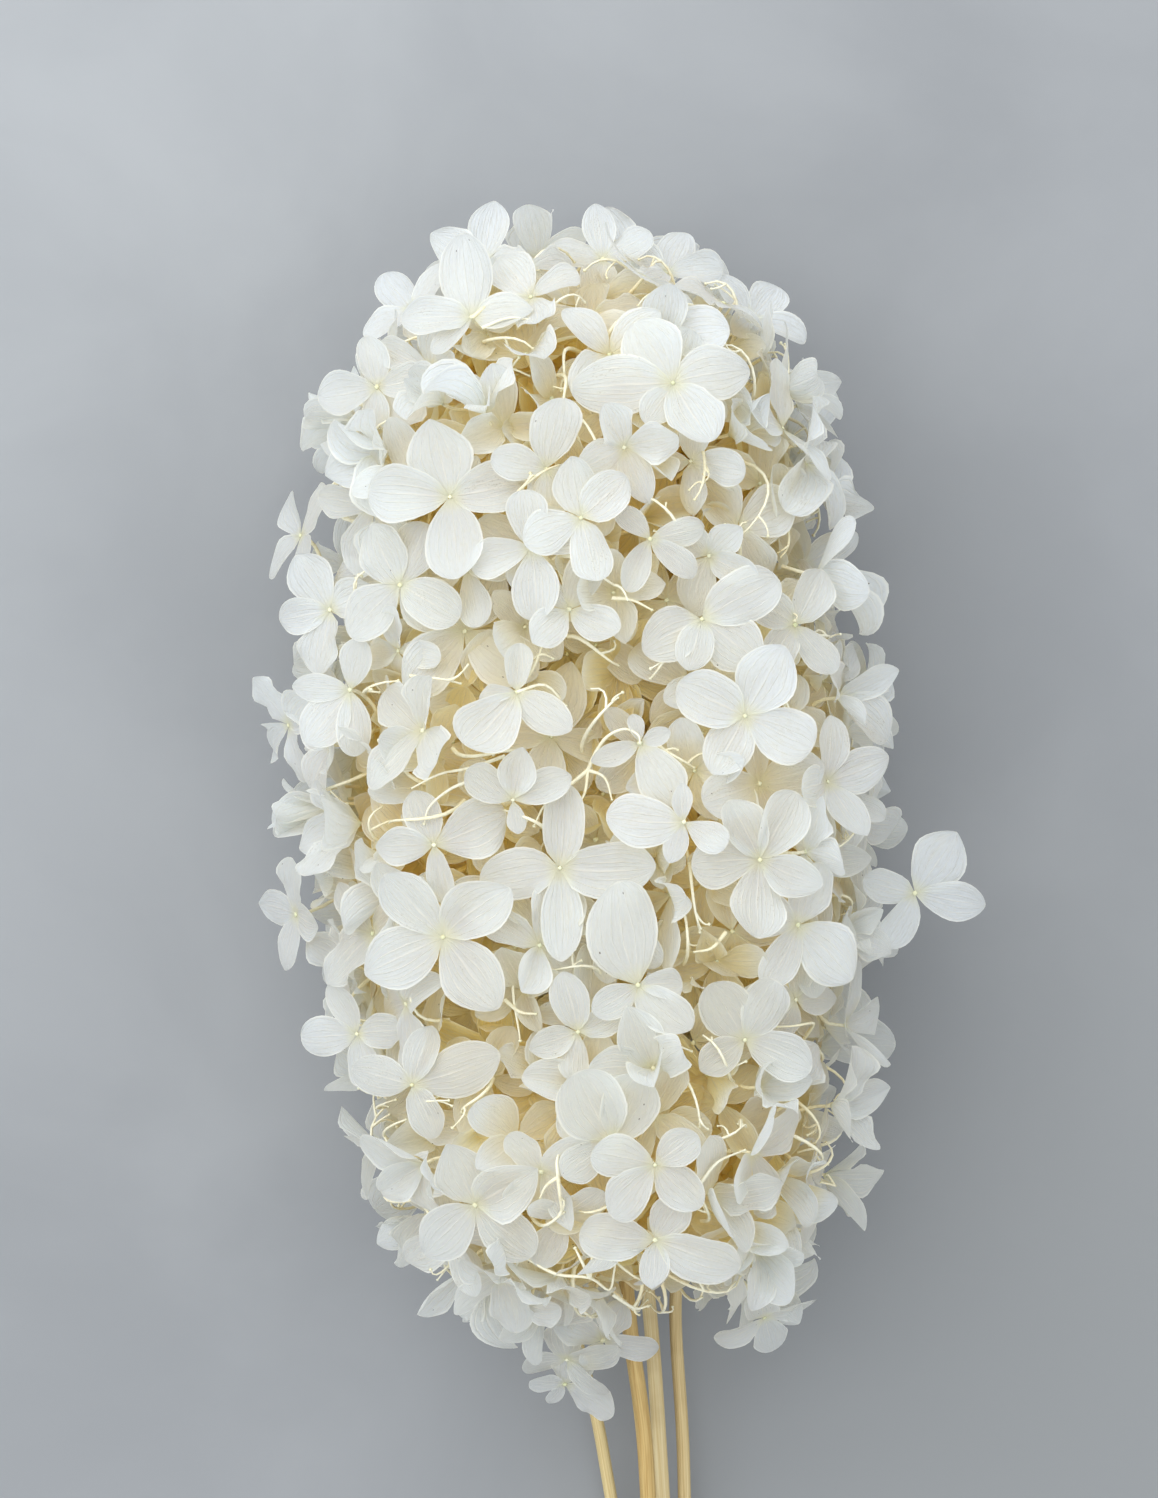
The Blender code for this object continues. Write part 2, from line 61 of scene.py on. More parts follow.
# Each stem's points from its head on, and its radii in the head and at the cut.
STEMS = {
    "top": {
        "points": (
            (0.001, 0.050, 0.046), (0.001, 0.032, 0.043), (0.001, -0.010, 0.036), (0.003, -0.045, 0.027),
            (0.009, -0.085, 0.0205), (0.0145, -0.122, 0.0165), (0.0176, -0.162, 0.0115),
        ),
        "radii": (0.0014, 0.0019),
    },
    "left": {
        "points": (
            (-0.024, -0.034, 0.042), (-0.0225, -0.050, 0.037), (-0.017, -0.070, 0.026),
            (-0.010, -0.095, 0.0175), (-0.003, -0.130, 0.0125), (0.0044, -0.162, 0.0090),
        ),
        "radii": (0.0012, 0.0016),
    },
    "right": {
        "points": (
            (0.030, -0.038, 0.043), (0.0295, -0.054, 0.037), (0.028, -0.074, 0.026),
            (0.025, -0.098, 0.0175), (0.0212, -0.125, 0.0140), (0.0231, -0.162, 0.0095),
        ),
        "radii": (0.00125, 0.0017),
    },
    "front": {
        "points": (
            (0.008, -0.092, 0.051), (0.0088, -0.108, 0.046), (0.0102, -0.128, 0.0375),
            (0.0142, -0.162, 0.0230),
        ),
        "radii": (0.0016, 0.0021),
    },
}
# The stems side by side where the hand gathers them, and their cut ends.
STEM_ROW = ("left", "front", "top", "right")
GATHER = (0.0185, -0.222)
STEM_SPACE = 0.0005
STEM_ENDS = {
    "left": (0.0085, -0.288),
    "front": (0.0155, -0.303),
    "top": (0.0225, -0.296),
    "right": (0.0305, -0.309),
}

SEED = 11
MM = 0.001
HALVINGS = 20


def spread(draw, size):
    """A random step in any direction."""
    return np.array([draw.gauss(0, size) for _ in range(3)])


# Shapes of the heads


def depth_in(name, point):
    """1 on the head's own surface and 0 in its middle, for a point or for many."""
    head = HEADS[name]
    return np.linalg.norm((np.array(point) - head["centre"]) / np.array(head["semi"]), axis=-1)


def depth_in_bunch(point):
    return sum(depth_in(name, point) ** -CROWDING for name in HEADS) ** (-1 / CROWDING)


# How deep in the bunch the petals start to be golden, and how soon they are wholly so: partly their own
# yellower tone, partly painted glow of the light that passes through the petals.
GOLDEN_FROM = 0.93
GOLDEN_OVER = 0.24


def inwardness(points):
    """0 at the outside of the bunch and 1 deep in it, for a point or for many."""
    return np.clip((GOLDEN_FROM - depth_in_bunch(points)) / GOLDEN_OVER, 0, 1)


def outward(point):
    """The way straight out of the bunch at a point."""
    direction = np.zeros(3)
    for name, head in HEADS.items():
        slope = (np.array(point) - head["centre"]) / np.array(head["semi"]) ** 2
        direction += depth_in(name, point) ** (-CROWDING - 2) * slope
    return Vector(direction / np.linalg.norm(direction))


def surface_point(start, direction, reach=0.1):
    """Where a way from inside the bunch comes to its surface."""
    low, high = 0.0, reach
    for _ in range(HALVINGS):
        middle = (low + high) / 2
        if depth_in_bunch(start + middle * direction) < 1:
            low = middle
        else:
            high = middle
    return start + low * direction


def seams():
    """For each head, a point and a direction for each seam: the head ends where the point's plane is."""
    found = {name: [] for name in HEADS}
    for first in HEADS:
        for second in HEADS:
            if first == second:
                continue
            here, there = np.array(HEADS[first]["centre"]), np.array(HEADS[second]["centre"])
            semi, other = np.array(HEADS[first]["semi"]), np.array(HEADS[second]["semi"])
            way = there - here
            share = 1 / (1 + np.linalg.norm(way / semi) / np.linalg.norm(way / other))
            direction = way / (semi**2 + other**2)
            found[first].append((here + share * way, direction / np.linalg.norm(direction)))
    return found


SEAMS = seams()


def past_seams(name, point):
    return max((np.array(point) - spot) @ direction for spot, direction in SEAMS[name])


def head_holding(point):
    return min(HEADS, key=lambda name: past_seams(name, point))


def bezier(a, b, c, d, count):
    t = np.linspace(0, 1, count)[:, None]
    return (1 - t) ** 3 * a + 3 * (1 - t) ** 2 * t * b + 3 * (1 - t) * t**2 * c + t**3 * d


# Petals

CRUMPLING = 2.2
SLIMNESS = 0.95
# Where petals leave their eye and how wide, and the wave in their outline.
EYE_REACH, CLAW_WIDE = 0.0004, 0.03
OUTLINE_WAVE, OUTLINE_TURN = 0.03, 9


def draw_petal(draw, turn, length, cup, crumple, fold, wide=None):
    """One petal's shape: angles in radians, half its width as a share of its length.

    crumple makes its bends wilder, and fold is the share of petals that are folded along the middle.
    """
    wild = 1 + CRUMPLING * crumple
    return SimpleNamespace(
        turn=turn,
        length=length,
        wide=SLIMNESS * (wide or draw.triangular(0.24, 0.44, 0.35)),
        shoulder=draw.uniform(0.72, 1.02),
        blunt=draw.triangular(0.42, 0.95, 0.58),
        cup=cup,
        curl=draw.gauss(0.06, 0.22) * wild,
        tip=draw.gauss(-0.05, 0.26) * wild,
        bowl=draw.gauss(0.22, 0.36) * wild,
        vee=abs(draw.gauss(0.0, 0.12)) * wild + (draw.uniform(0.3, 0.8) if draw.random() < fold else 0),
        twist=draw.gauss(0, 0.16) * wild,
        ruffle=abs(draw.gauss(0.0, 0.06)) * wild,
        waves=draw.uniform(1.0, 2.2),
        phase=(draw.uniform(0, 6.28), draw.uniform(0, 6.28)),
        lean=draw.gauss(0, 0.07),
        pleat=draw.uniform(0.03, 0.10) * MM,
        tone=draw.random(),
    )


def along_petal(rows):
    """Shares of a petal's length, closer together towards its round tip."""
    return (1 - (1 - np.linspace(0, 1, rows)) ** 1.6) * 0.996


def petal_points(p, rows, cols):
    """The petal's points in its floret's axes, rows along it and cols across it."""
    along = along_petal(rows)
    across = np.linspace(-1, 1, cols)
    body = along**p.shoulder * (1 - along) ** p.blunt
    peak = p.shoulder / (p.shoulder + p.blunt)
    top = peak**p.shoulder * (1 - peak) ** p.blunt
    width = (CLAW_WIDE * (1 - along) + p.wide * body / top) * p.length
    width *= 1 + OUTLINE_WAVE * np.sin(along * OUTLINE_TURN + p.phase[0])
    angle = p.cup + p.curl * along + p.tip * along**4
    middle = (angle[1:] + angle[:-1]) / 2
    step = np.diff(along) * p.length
    out = EYE_REACH + np.concatenate([[0], np.cumsum(np.cos(middle) * step)])
    up = np.concatenate([[0], np.cumsum(np.sin(middle) * step)])
    # Each row is an arc with a fold, waves at its edges and, on the finest petals, small ridges.
    bend = p.bowl * np.sin(np.pi * along**0.8)[:, None] + 1e-4
    side = width[:, None] * np.sin(bend * across) / bend
    rise = width[:, None] * (1 - np.cos(bend * across)) / bend
    rise += p.vee * width[:, None] * np.sqrt(across**2 + 0.03)
    edge = np.sin(2 * np.pi * p.waves * along[:, None] + np.where(across < 0, *p.phase))
    rise += p.ruffle * width[:, None] * np.abs(across) ** 3 * edge * 2
    if cols == PLEATED:
        ridges = np.where(np.arange(cols) % 2, 0.5, -0.5) * (1 - across**4)
        rise += p.pleat * ridges * np.sin(np.pi * along**0.7)[:, None]
    roll = p.twist * along[:, None]
    side, rise = side * np.cos(roll) - rise * np.sin(roll), side * np.sin(roll) + rise * np.cos(roll)
    side += p.lean * p.length * along[:, None] ** 2
    x = out[:, None] - rise * np.sin(angle)[:, None]
    z = up[:, None] + rise * np.cos(angle)[:, None]
    points = np.stack([x, side, z], axis=-1).reshape(-1, 3)
    spin = np.array(Matrix.Rotation(p.turn, 3, "Z"))
    return points @ spin.T


def grid_faces(rows, cols):
    first = (np.arange(rows - 1)[:, None] * cols + np.arange(cols - 1)).reshape(-1, 1)
    return first + np.array((0, cols, cols + 1, 1))


# Rows and columns of the petals in each layer, from the outside in, and of those that stand in for them.
PLEATED = 15
FINE = {0: (12, PLEATED), 1: (9, 8), 2: (7, 5), 3: (5, 4)}
COARSE = (5, 4)
COARSE_FACES = grid_faces(*COARSE)


def petals_tree(florets):
    """The florets' petals, coarsely, for looking at what crosses or covers them."""
    points, faces = [], []
    for floret in florets:
        for petal in floret.petals:
            faces.append(COARSE_FACES + len(points) * COARSE[0] * COARSE[1])
            points.append(floret.world(petal, *COARSE))
    return BVHTree.FromPolygons(np.concatenate(points).tolist(), np.concatenate(faces).tolist())


def axes_facing(facing, spin):
    """Axes with z along the facing, and x as near to the picture's right as that leaves it."""
    z = Vector(facing).normalized()
    right = Vector((1, 0, 0)) if abs(z.x) < 0.9 else Vector((0, 1, 0))
    y = z.cross(right).normalized()
    axes = Matrix((y.cross(z), y, z)).transposed()
    return np.array(axes @ Matrix.Rotation(spin, 3, "Z"))


class Floret:
    """Petals round an eye, at a place and turned to face a direction.

    thin is how much light it loses, marks are points of it that stay in sight, and golden is how golden it
    is at least where it lies inside, partly its own tone and partly painted glow.
    """

    def __init__(self, place, facing, spin, petals, layer, thin):
        self.place = np.array(place)
        self.thin = thin
        self.axes = axes_facing(facing, spin)
        self.petals = petals
        self.layer = layer
        self.marks = []
        self.golden = 0.0
        self.tree = petals_tree([self])

    def world(self, petal, rows, cols):
        return pressed(self.place + petal_points(petal, rows, cols) @ self.axes.T)


PRESS_FROM = 0.004
PRESS_STEEP = 0.8


def pressed(points):
    """Moves points near the surface to just above it, as the bunch's weight presses them."""
    z = points[:, 2]
    low = z < PRESS_FROM
    z[low] = PRESS_FROM * np.exp((z[low] - PRESS_FROM) / PRESS_FROM * PRESS_STEEP)
    return points


STYLES = (
    # share, cup from and to in degrees, spread between petals in degrees, crumple, share of folded petals
    (0.48, (0, 22), 8, 0.10, 0.10),
    (0.20, (22, 48), 10, 0.25, 0.25),
    (0.15, (-26, 0), 9, 0.15, 0.15),
    (0.17, (-10, 50), 18, 0.42, 0.35),
)
STYLE_SHARES = [style[0] for style in STYLES]


def draw_floret(draw, place, facing, reach, layer):
    """A random floret with petals of about the given reach."""
    _, cups, uneven, crumple, fold = draw.choices(STYLES, STYLE_SHARES)[0]
    cup = draw.uniform(*cups)
    petals = []
    for index in range(4):
        turn = index * math.pi / 2 + math.radians(draw.gauss(0, 7))
        angle = math.radians(cup + draw.gauss(0, uneven))
        petals.append(draw_petal(draw, turn, reach * draw.uniform(0.84, 1.12), angle, crumple, fold))
    return Floret(place, facing, draw.uniform(0, math.pi / 2), petals, layer, draw.random() ** 2)


SHOWN_CUPS = (0, 12)
SHOWN_CRUMPLE = 0.04


def shown_floret(draw, place, facing, petals):
    """A floret whose petals are given, as those of SHOWN are."""
    made = []
    for turn, length, wide in zip(petals[::3], petals[1::3], petals[2::3]):
        cup = math.radians(draw.uniform(*SHOWN_CUPS))
        made.append(draw_petal(draw, math.radians(turn), length * MM, cup, SHOWN_CRUMPLE, 0, wide / 100))
    floret = Floret(place, facing, 0, made, 0, draw.random() ** 2)
    middle = COARSE[0] // 2 * COARSE[1] + COARSE[1] // 2
    spots = [floret.place] + [floret.world(petal, *COARSE)[middle] for petal in floret.petals]
    floret.marks = [Vector(spot) + Vector((0, 0, 0.5 * MM)) for spot in spots]
    return floret


# Where florets go

# The florets that stand out in the photograph: the eye's pixel, how far the floret leans to the picture's
# right and top, and each petal's direction in degrees, length in mm and half width in hundredths of that.
SHOWN = (
    (472, 317, -0.1, 0.35, 100, 18, 36, 180, 15, 33, 225, 12, 20, 0, 13, 36),
    (377, 387, -0.4, 0.1, 190, 13, 42, 0, 11, 40, -90, 9, 36, 95, 11, 38),
    (450, 497, -0.1, 0.1, -80, 18, 38, 8, 16, 40, 60, 10, 28, 100, 17, 42, 175, 17, 40),
    (400, 585, -0.2, 0.1, 120, 14, 40, 65, 14, 40, -30, 15, 36, 218, 15, 38),
    (581, 518, 0.0, 0.1, 100, 13, 40, 40, 13, 40, -75, 14, 34, 200, 13, 38),
    (650, 539, 0.1, 0.0, 240, 12, 28, -40, 12, 26, 10, 12, 26, 130, 10, 28),
    (531, 548, 0.0, -0.1, -80, 15, 36, 190, 13, 36, 25, 12, 38, 95, 12, 38),
    (673, 383, 0.0, 0.2, 118, 16, 42, 18, 17, 36, -62, 17, 40, 183, 22, 30, 240, 11, 36),
    (702, 619, 0.1, 0.1, 30, 18.5, 34, -38, 15, 42, -105, 12, 36, 205, 14, 42),
    (745, 716, 0.1, 0.0, 155, 16, 40, -118, 14.5, 38, -28, 15.5, 42, 62, 17, 40),
    (760, 860, 0.15, 0.0, -98, 16.5, 38, 178, 15, 40, 115, 14, 38, 60, 16, 42, -30, 14, 36),
    (798, 925, 0.25, 0.0, -115, 15.5, 27, -40, 16, 42, 75, 14, 36, 160, 13, 38),
    (560, 868, 0.0, 0.05, -8, 20, 34, -86, 19.8, 24, 186, 17, 34, 83, 18, 28),
    (443, 937, -0.1, 0.0, 130, 18.5, 30, 46, 18, 38, -52, 19, 36, 205, 18, 38),
    (434, 845, -0.1, 0.0, 18, 16.5, 40, -80, 13, 22, 180, 12, 36, 110, 12, 36),
    (475, 1205, -0.15, -0.25, 222, 15, 40, 112, 16, 38, 35, 17, 38, -38, 16, 38),
    (655, 1240, 0.0, -0.2, 175, 16, 34, -88, 10, 34, -20, 19, 32, 60, 12, 36),
    (655, 1165, 0.1, -0.1, 160, 14, 34, 222, 14, 36, -45, 13, 36, 40, 12, 36),
    (638, 985, 0.0, 0.0, 112, 22, 38, 215, 12, 32, -50, 14, 36, 5, 9, 42),
    (640, 743, 0.0, 0.0, 205, 11, 24, -60, 15, 36, 100, 6, 30, 20, 7, 30),
    (517, 692, 0.0, 0.0, 90, 10, 38, -125, 17, 42, -40, 14, 32, 185, 8, 30),
    (513, 800, 0.0, 0.0, 25, 13, 30, 80, 12, 36, 150, 12, 34, -80, 7, 30),
    (684, 822, 0.0, 0.0, 183, 16, 38, 100, 8, 30, -30, 10, 36, 250, 9, 30),
    (612, 1142, 0.0, -0.15, 118, 18, 46, 212, 13, 32, 66, 16, 42, -60, 9, 30),
    (357, 1034, -0.35, 0.0, 185, 13, 36, 110, 12, 30, -70, 12, 36, 10, 12, 34),
    (412, 1085, -0.2, 0.0, 15, 21, 28, 75, 13, 32, 165, 13, 36, -60, 12, 34),
    (745, 1040, 0.1, 0.0, 120, 15, 40, 60, 14, 38, -20, 15, 36, 210, 12, 34),
    (795, 625, 0.3, 0.1, 60, 14, 36, 150, 12, 38, -50, 13, 30, 230, 12, 34),
    (578, 1032, 0.0, 0.0, 100, 13, 36, -100, 10, 34, 20, 12, 30, 200, 11, 34),
    (330, 610, -0.45, 0.1, 120, 14, 40, -100, 14, 40, 190, 12, 36, 20, 13, 38),
    (350, 690, -0.5, 0.0, 175, 13, 24, -130, 15, 40, -80, 14, 30, 70, 12, 36),
)
# Florets that stray out of the mass: head, place, facing, and petals as above.
STRAYS = (
    ("right", 0.0726, -0.029, 0.06, 0.2, -0.1, 0.97, 52, 16, 40, -12, 16, 28, -118, 14, 34, 168, 15, 26),
    ("left", -0.063, 0.05, 0.054, -0.85, 0.25, 0.45, 20, 14, 34, 110, 13, 36, 200, 13, 34, 290, 13, 36),
    ("left", -0.066, 0.008, 0.05, -0.8, -0.2, 0.55, 45, 14, 38, 135, 13, 36, 220, 13, 36, 310, 13, 36),
    ("left", -0.064, -0.034, 0.054, -0.85, -0.1, 0.5, 0, 13, 34, 80, 14, 36, 175, 13, 34, 260, 13, 36),
    ("top", -0.0225, 0.11, 0.058, -0.15, 0.45, 0.85, 80, 14, 34, 150, 13, 36, -20, 12, 36, 250, 12, 36),
    ("top", 0.004, 0.111, 0.056, 0, 0.5, 0.85, 95, 13, 30, 30, 12, 36, 170, 12, 36, 270, 10, 36),
    ("top", 0.018, 0.108, 0.054, 0.15, 0.5, 0.8, 75, 13, 34, 10, 13, 36, 150, 12, 34, 250, 12, 36),
    ("top", 0.037, 0.0985, 0.05, 0.45, 0.5, 0.7, 60, 13, 36, -20, 13, 36, 140, 12, 36, 235, 12, 36),
    ("top", -0.0385, 0.1005, 0.052, -0.45, 0.5, 0.7, 120, 13, 36, 200, 12, 36, 35, 12, 34, 290, 12, 36),
    ("front", -0.004, -0.134, 0.046, -0.15, -0.6, 0.78, 28, 13, 36, 100, 12, 40, 190, 10, 34, -40, 12, 28),
    ("front", 0.004, -0.129, 0.05, 0.05, -0.4, 0.9, -15, 13, 28, 65, 11, 34, 150, 12, 36, 240, 8, 34),
    ("front", -0.0045, -0.1405, 0.04, 0.05, -0.55, 0.85, -32, 13, 30, 75, 12, 42, 150, 9, 34, 230, 6, 34),
    ("front", 0.04, -0.124, 0.05, 0.35, -0.7, 0.6, 10, 12, 36, 100, 12, 36, 190, 12, 36, 280, 12, 36),
)
LAYERS = (
    # depth, closest spacing, most florets, petal length from and to, tries
    (0.905, 0.0107, 320, (0.0120, 0.0170), 12),
    (0.78, 0.0122, 230, (0.0115, 0.0155), 5),
    (0.64, 0.0100, 300, (0.0120, 0.0160), 2),
    (0.46, 0.0100, 170, (0.0130, 0.0170), 1),
)
# Twigs that stand out in the photograph: pixels along them, each with its depth in mm.
TWIGS = (
    ((588, 770, 7), (596, 752, 5), (608, 736, 3), (625, 729, 2), (638, 735, 1), (640, 743, 1)),
    ((588, 770, 7), (566, 788, 5), (545, 805, 4), (534, 826, 4)),
    ((588, 770, 7), (584, 795, 5), (571, 812, 4)),
    ((588, 770, 7), (605, 778, 6), (612, 800, 6)),
    ((505, 756, 5), (470, 768, 4), (440, 774, 4), (412, 788, 4)),
    ((480, 778, 5), (452, 788, 3), (430, 806, 3), (424, 824, 3)),
    ((517, 692, 2), (545, 685, 2), (566, 706, 4)),
    ((472, 318, 2), (492, 303, 2), (518, 300, 4)),
    ((482, 328, 2), (508, 318, 2), (534, 320, 4)),
    ((612, 598, 4), (632, 600, 3), (652, 610, 3)),
    ((527, 1258, 4), (556, 1274, 3), (590, 1278, 2), (609, 1290, 2), (614, 1272, 2), (617, 1252, 3)),
    ((590, 1278, 2), (582, 1262, 2), (575, 1248, 4)),
    ((590, 1278, 2), (592, 1258, 3), (588, 1240, 5)),
    ((558, 1177, 2), (546, 1186, 2), (540, 1198, 3)),
    ((558, 1177, 2), (560, 1196, 2), (562, 1214, 4)),
    ((558, 1177, 2), (557, 1160, 2), (562, 1146, 4)),
    ((700, 1184, 4), (718, 1162, 3), (745, 1150, 4)),
    ((612, 1294, 3), (634, 1308, 4), (648, 1306, 6)),
    ((726, 932, 7), (712, 948, 6), (694, 952, 6)),
    ((505, 1000, 7), (520, 1012, 5), (536, 1014, 5)),
)
# Where the photograph looks through to the golden branches: pixel and radius in mm.
GAPS = (
    ((600, 795), 8), ((566, 752), 8), ((490, 668), 5), ((622, 600), 5), ((725, 945), 8),
    ((512, 1010), 8), ((515, 1120), 6), ((640, 1125), 4), ((600, 1190), 5), ((745, 1215), 5),
    ((620, 665), 4), ((664, 1338), 9), ((488, 1092), 4), ((708, 1092), 4), ((612, 1062), 3),
    ((582, 1174), 3), ((690, 985), 3), ((735, 640), 3), ((470, 745), 4), ((478, 460), 3),
)
# Florets in a gap: how deep each lies and how golden it is, partly painted glow, their petals' lengths,
# and where they may be.
GAP_DEPTHS = ((0.009, 0.4), (0.012, 0.6), (0.015, 0.8), (0.018, 1.0))
GAP_REACHES, GAP_SHIFT, GAP_LEAN, GAP_INSIDE = (0.012, 0.015), 0.004, 0.2, 0.9
# How deep a gap's middle is, and how far the first two layers' florets stay off its rim.
GAP_MIDDLE, GAP_MARGINS = 0.006, (0.005, -0.002)
SHOWN_DEPTHS = (0.002, 0.0, 0.004, 0.001)
# How far random florets lean, how many lean further and how far, and how far they are moved out.
LEAN, WILD_SHARE, WILD_LEAN, SHIFTS = 0.22, 0.35, 0.55, (-0.006, 0.002)
CANDIDATES = 900
# Florets this near may cross, and a mark that is covered counts as so many crossings.
NEAR, HIDING = 0.034, 8
# Looks at the stems, under the bunch's end, that no random floret shuts.
STEM_LOOKS = [(x, y) for x in range(638, 745, 11) for y in range(1290 if x < 695 else 1308, 1346, 11)]
STEM_LOOK_FLOOR, STEM_LOOK_END, SHUT = 0.004, -0.09, 100
# Where the bunch is looked into, in pixels, from how far above its surface and how far into it.
LOOK_X, LOOK_Y, OUTLINE = (290, 900, 9), (220, 1400, 9), 1.02
HOLE_ABOVE, HOLE_DEPTH, SEEN_DEPTH = 0.008, 0.021, 0.0145
# Where along such a look a floret lies, how far inside at most, and the step in mm that takes it there.
HOLE_SHARES, HOLE_INSIDE, FACES_UP, UP_LESS = (0.75, 0.95), 0.80, 0.8, 0.06
DEEPER_TRIES, DEEPER_STEP = 3, 3
HOLE_ROUNDS, HOLE_TRIES, HOLE_APART, HOLE_LEAN, HOLE_REACHES = 3, 4, 0.009, 0.2, (0.011, 0.0145)
# How golden a filler is at least, partly painted glow deep in the bunch.
FILLER_GOLD_AND_GLOW = 0.36
# Where one would look through to the underside all the same: pixels, and how deep their florets lie.
DEEP_SPOTS = ((567, 654), (576, 720), (603, 794))
# Their florets' gold is partly painted glow.
DEEP_SPOT_DEPTHS, DEEP_GOLD_AND_GLOW = (0.016, 0.020), 0.8
# Bare twigs: places, tries at each, how open the best has to be, and what a crossed petal takes off that.
BARE_SPOTS, BARE_TRIES, BARE_OPEN, BARE_CROSSED = 300, 12, 4, 3
BARE_LIFT, BARE_SIGHT = 0.0006, 0.05
# Their reach, how deep their feet and tips lie, how far they rise and how long their side twigs are, in mm.
BARE_REACHES, BARE_FEET, BARE_TIPS, BARE_RISES, FORK_LENGTHS = (9, 18), (9, 13), (4, 9), (4, 9), (2.5, 6)

# The camera, in the bunch's axes: how far it is over the plane that sets the scale, and what it sees there.
CAMERA_AT = np.array((-0.0013, 0.0027, 0.86))
CAMERA_OVER = 0.80
HEIGHT_SEEN = 0.3296
PICTURE = (1158, 1498)
PIXEL = HEIGHT_SEEN / PICTURE[1]
# The bunch's upper surface is this far from the camera, at least and at most.
SEEN_FROM, SEEN_TO = 0.74, 0.81


def ray_through(pixel):
    """The way from the camera through a pixel, for each metre down."""
    across = (pixel[0] - PICTURE[0] / 2) * PIXEL / CAMERA_OVER
    up = (PICTURE[1] / 2 - pixel[1]) * PIXEL / CAMERA_OVER
    return np.array((across, up, -1.0))


def seen_at(pixel, depth=0.0):
    """The point of the bunch's surface that the camera sees at a pixel, in the bunch's axes."""
    ray = ray_through(pixel)
    near, far = CAMERA_AT + SEEN_FROM * ray, CAMERA_AT + SEEN_TO * ray
    for _ in range(HALVINGS):
        middle = (near + far) / 2
        if depth_in_bunch(middle) > 1:
            near = middle
        else:
            far = middle
    return near + depth * ray


def beneath(pixel, height):
    """The point at a height over the floor that the camera would see at a pixel."""
    return CAMERA_AT + (CAMERA_AT[2] - height) * ray_through(pixel)


def surface_spread():
    """Evenly spread points over the outside of the bunch, each with its head."""
    golden = math.pi * (3 - math.sqrt(5))
    names, points = [], []
    for name, head in HEADS.items():
        for index in range(CANDIDATES):
            up = 1 - (2 * index + 1) / CANDIDATES
            ring = math.sqrt(1 - up * up)
            way = np.array((ring * math.cos(golden * index), ring * math.sin(golden * index), up))
            way = way * head["semi"] / np.linalg.norm(way * head["semi"])
            point = surface_point(np.array(head["centre"]), way)
            if past_seams(name, point) < 0:
                names.append(name)
                points.append(point)
    return names, np.array(points)


class Bunch:
    """The florets placed so far, and what they leave in sight."""

    def __init__(self):
        self.florets = {name: [] for name in HEADS}
        self.placed = []
        self.marks = [Vector(seen_at(mark[:2], mark[2] * MM)) for marks in TWIGS for mark in marks]
        self.looks = [Vector(beneath(pixel, STEM_LOOK_FLOOR)) for pixel in STEM_LOOKS]

    def crossings(self, floret):
        """How many faces a floret would cross, with more for what it would hide."""
        total = 0
        for other in self.placed:
            if np.abs(other.place - floret.place).max() < NEAR:
                total += len(floret.tree.overlap(other.tree))
        # What stands out in the photograph is only covered by what stands out too.
        if not floret.marks:
            for mark in self.marks:
                near = (mark - Vector(floret.place)).length < NEAR
                if near and floret.tree.ray_cast(mark, Vector((0, 0, 1)))[0] is not None:
                    total += HIDING
            if floret.place[1] < STEM_LOOK_END:
                for spot in self.looks:
                    if floret.tree.ray_cast(spot, (Vector(CAMERA_AT) - spot).normalized())[0] is not None:
                        return SHUT
        return total

    def keep(self, name, floret):
        self.florets[name].append(floret)
        self.placed.append(floret)
        self.marks += floret.marks


def hole_place(draw, spot, out, reach):
    """Where a floret shuts a look into the bunch from a spot, or None where that is too far out."""
    place = spot - draw.uniform(*HOLE_SHARES) * reach * out
    deepest = HOLE_INSIDE if outward(spot).z < FACES_UP else HOLE_INSIDE + UP_LESS
    for _ in range(DEEPER_TRIES):
        if depth_in_bunch(place) > deepest:
            place = place - DEEPER_STEP * MM * out
    return place if depth_in_bunch(place) <= deepest else None


def fill_holes(bunch, draw, names, points):
    """Adds florets where one could look deep into the bunch, from outside or from the camera."""
    looks = [(name, Vector(point), outward(point), HOLE_DEPTH) for name, point in zip(names, points)]
    for x in range(*LOOK_X):
        for y in range(*LOOK_Y):
            spot = seen_at((x, y))
            if depth_in_bunch(spot) < OUTLINE:
                looks.append((head_holding(spot), Vector(spot), Vector((0, 0, 1)), SEEN_DEPTH))
    for _ in range(HOLE_ROUNDS):
        tree = petals_tree(bunch.placed)
        filled = []
        for name, spot, out, reach in looks:
            if tree.ray_cast(spot + HOLE_ABOVE * out, -out, HOLE_ABOVE + reach)[0] is not None:
                continue
            place = hole_place(draw, spot, out, reach)
            if place is not None and all((place - other).length > HOLE_APART for other in filled):
                found = []
                for attempt in range(HOLE_TRIES):
                    facing = (out + Vector(spread(draw, HOLE_LEAN))).normalized()
                    floret = draw_floret(draw, place, facing, draw.uniform(*HOLE_REACHES), 1)
                    floret.golden = FILLER_GOLD_AND_GLOW
                    found.append((bunch.crossings(floret), attempt, floret))
                if min(found)[0] < HIDING:
                    filled.append(place)
                    bunch.keep(name, min(found)[2])
    for pixel in DEEP_SPOTS:
        for depth in DEEP_SPOT_DEPTHS:
            place = seen_at(pixel, depth)
            floret = draw_floret(draw, place, (0, 0, 1), draw.uniform(*HOLE_REACHES), 1)
            floret.golden = DEEP_GOLD_AND_GLOW
            bunch.keep(head_holding(place), floret)


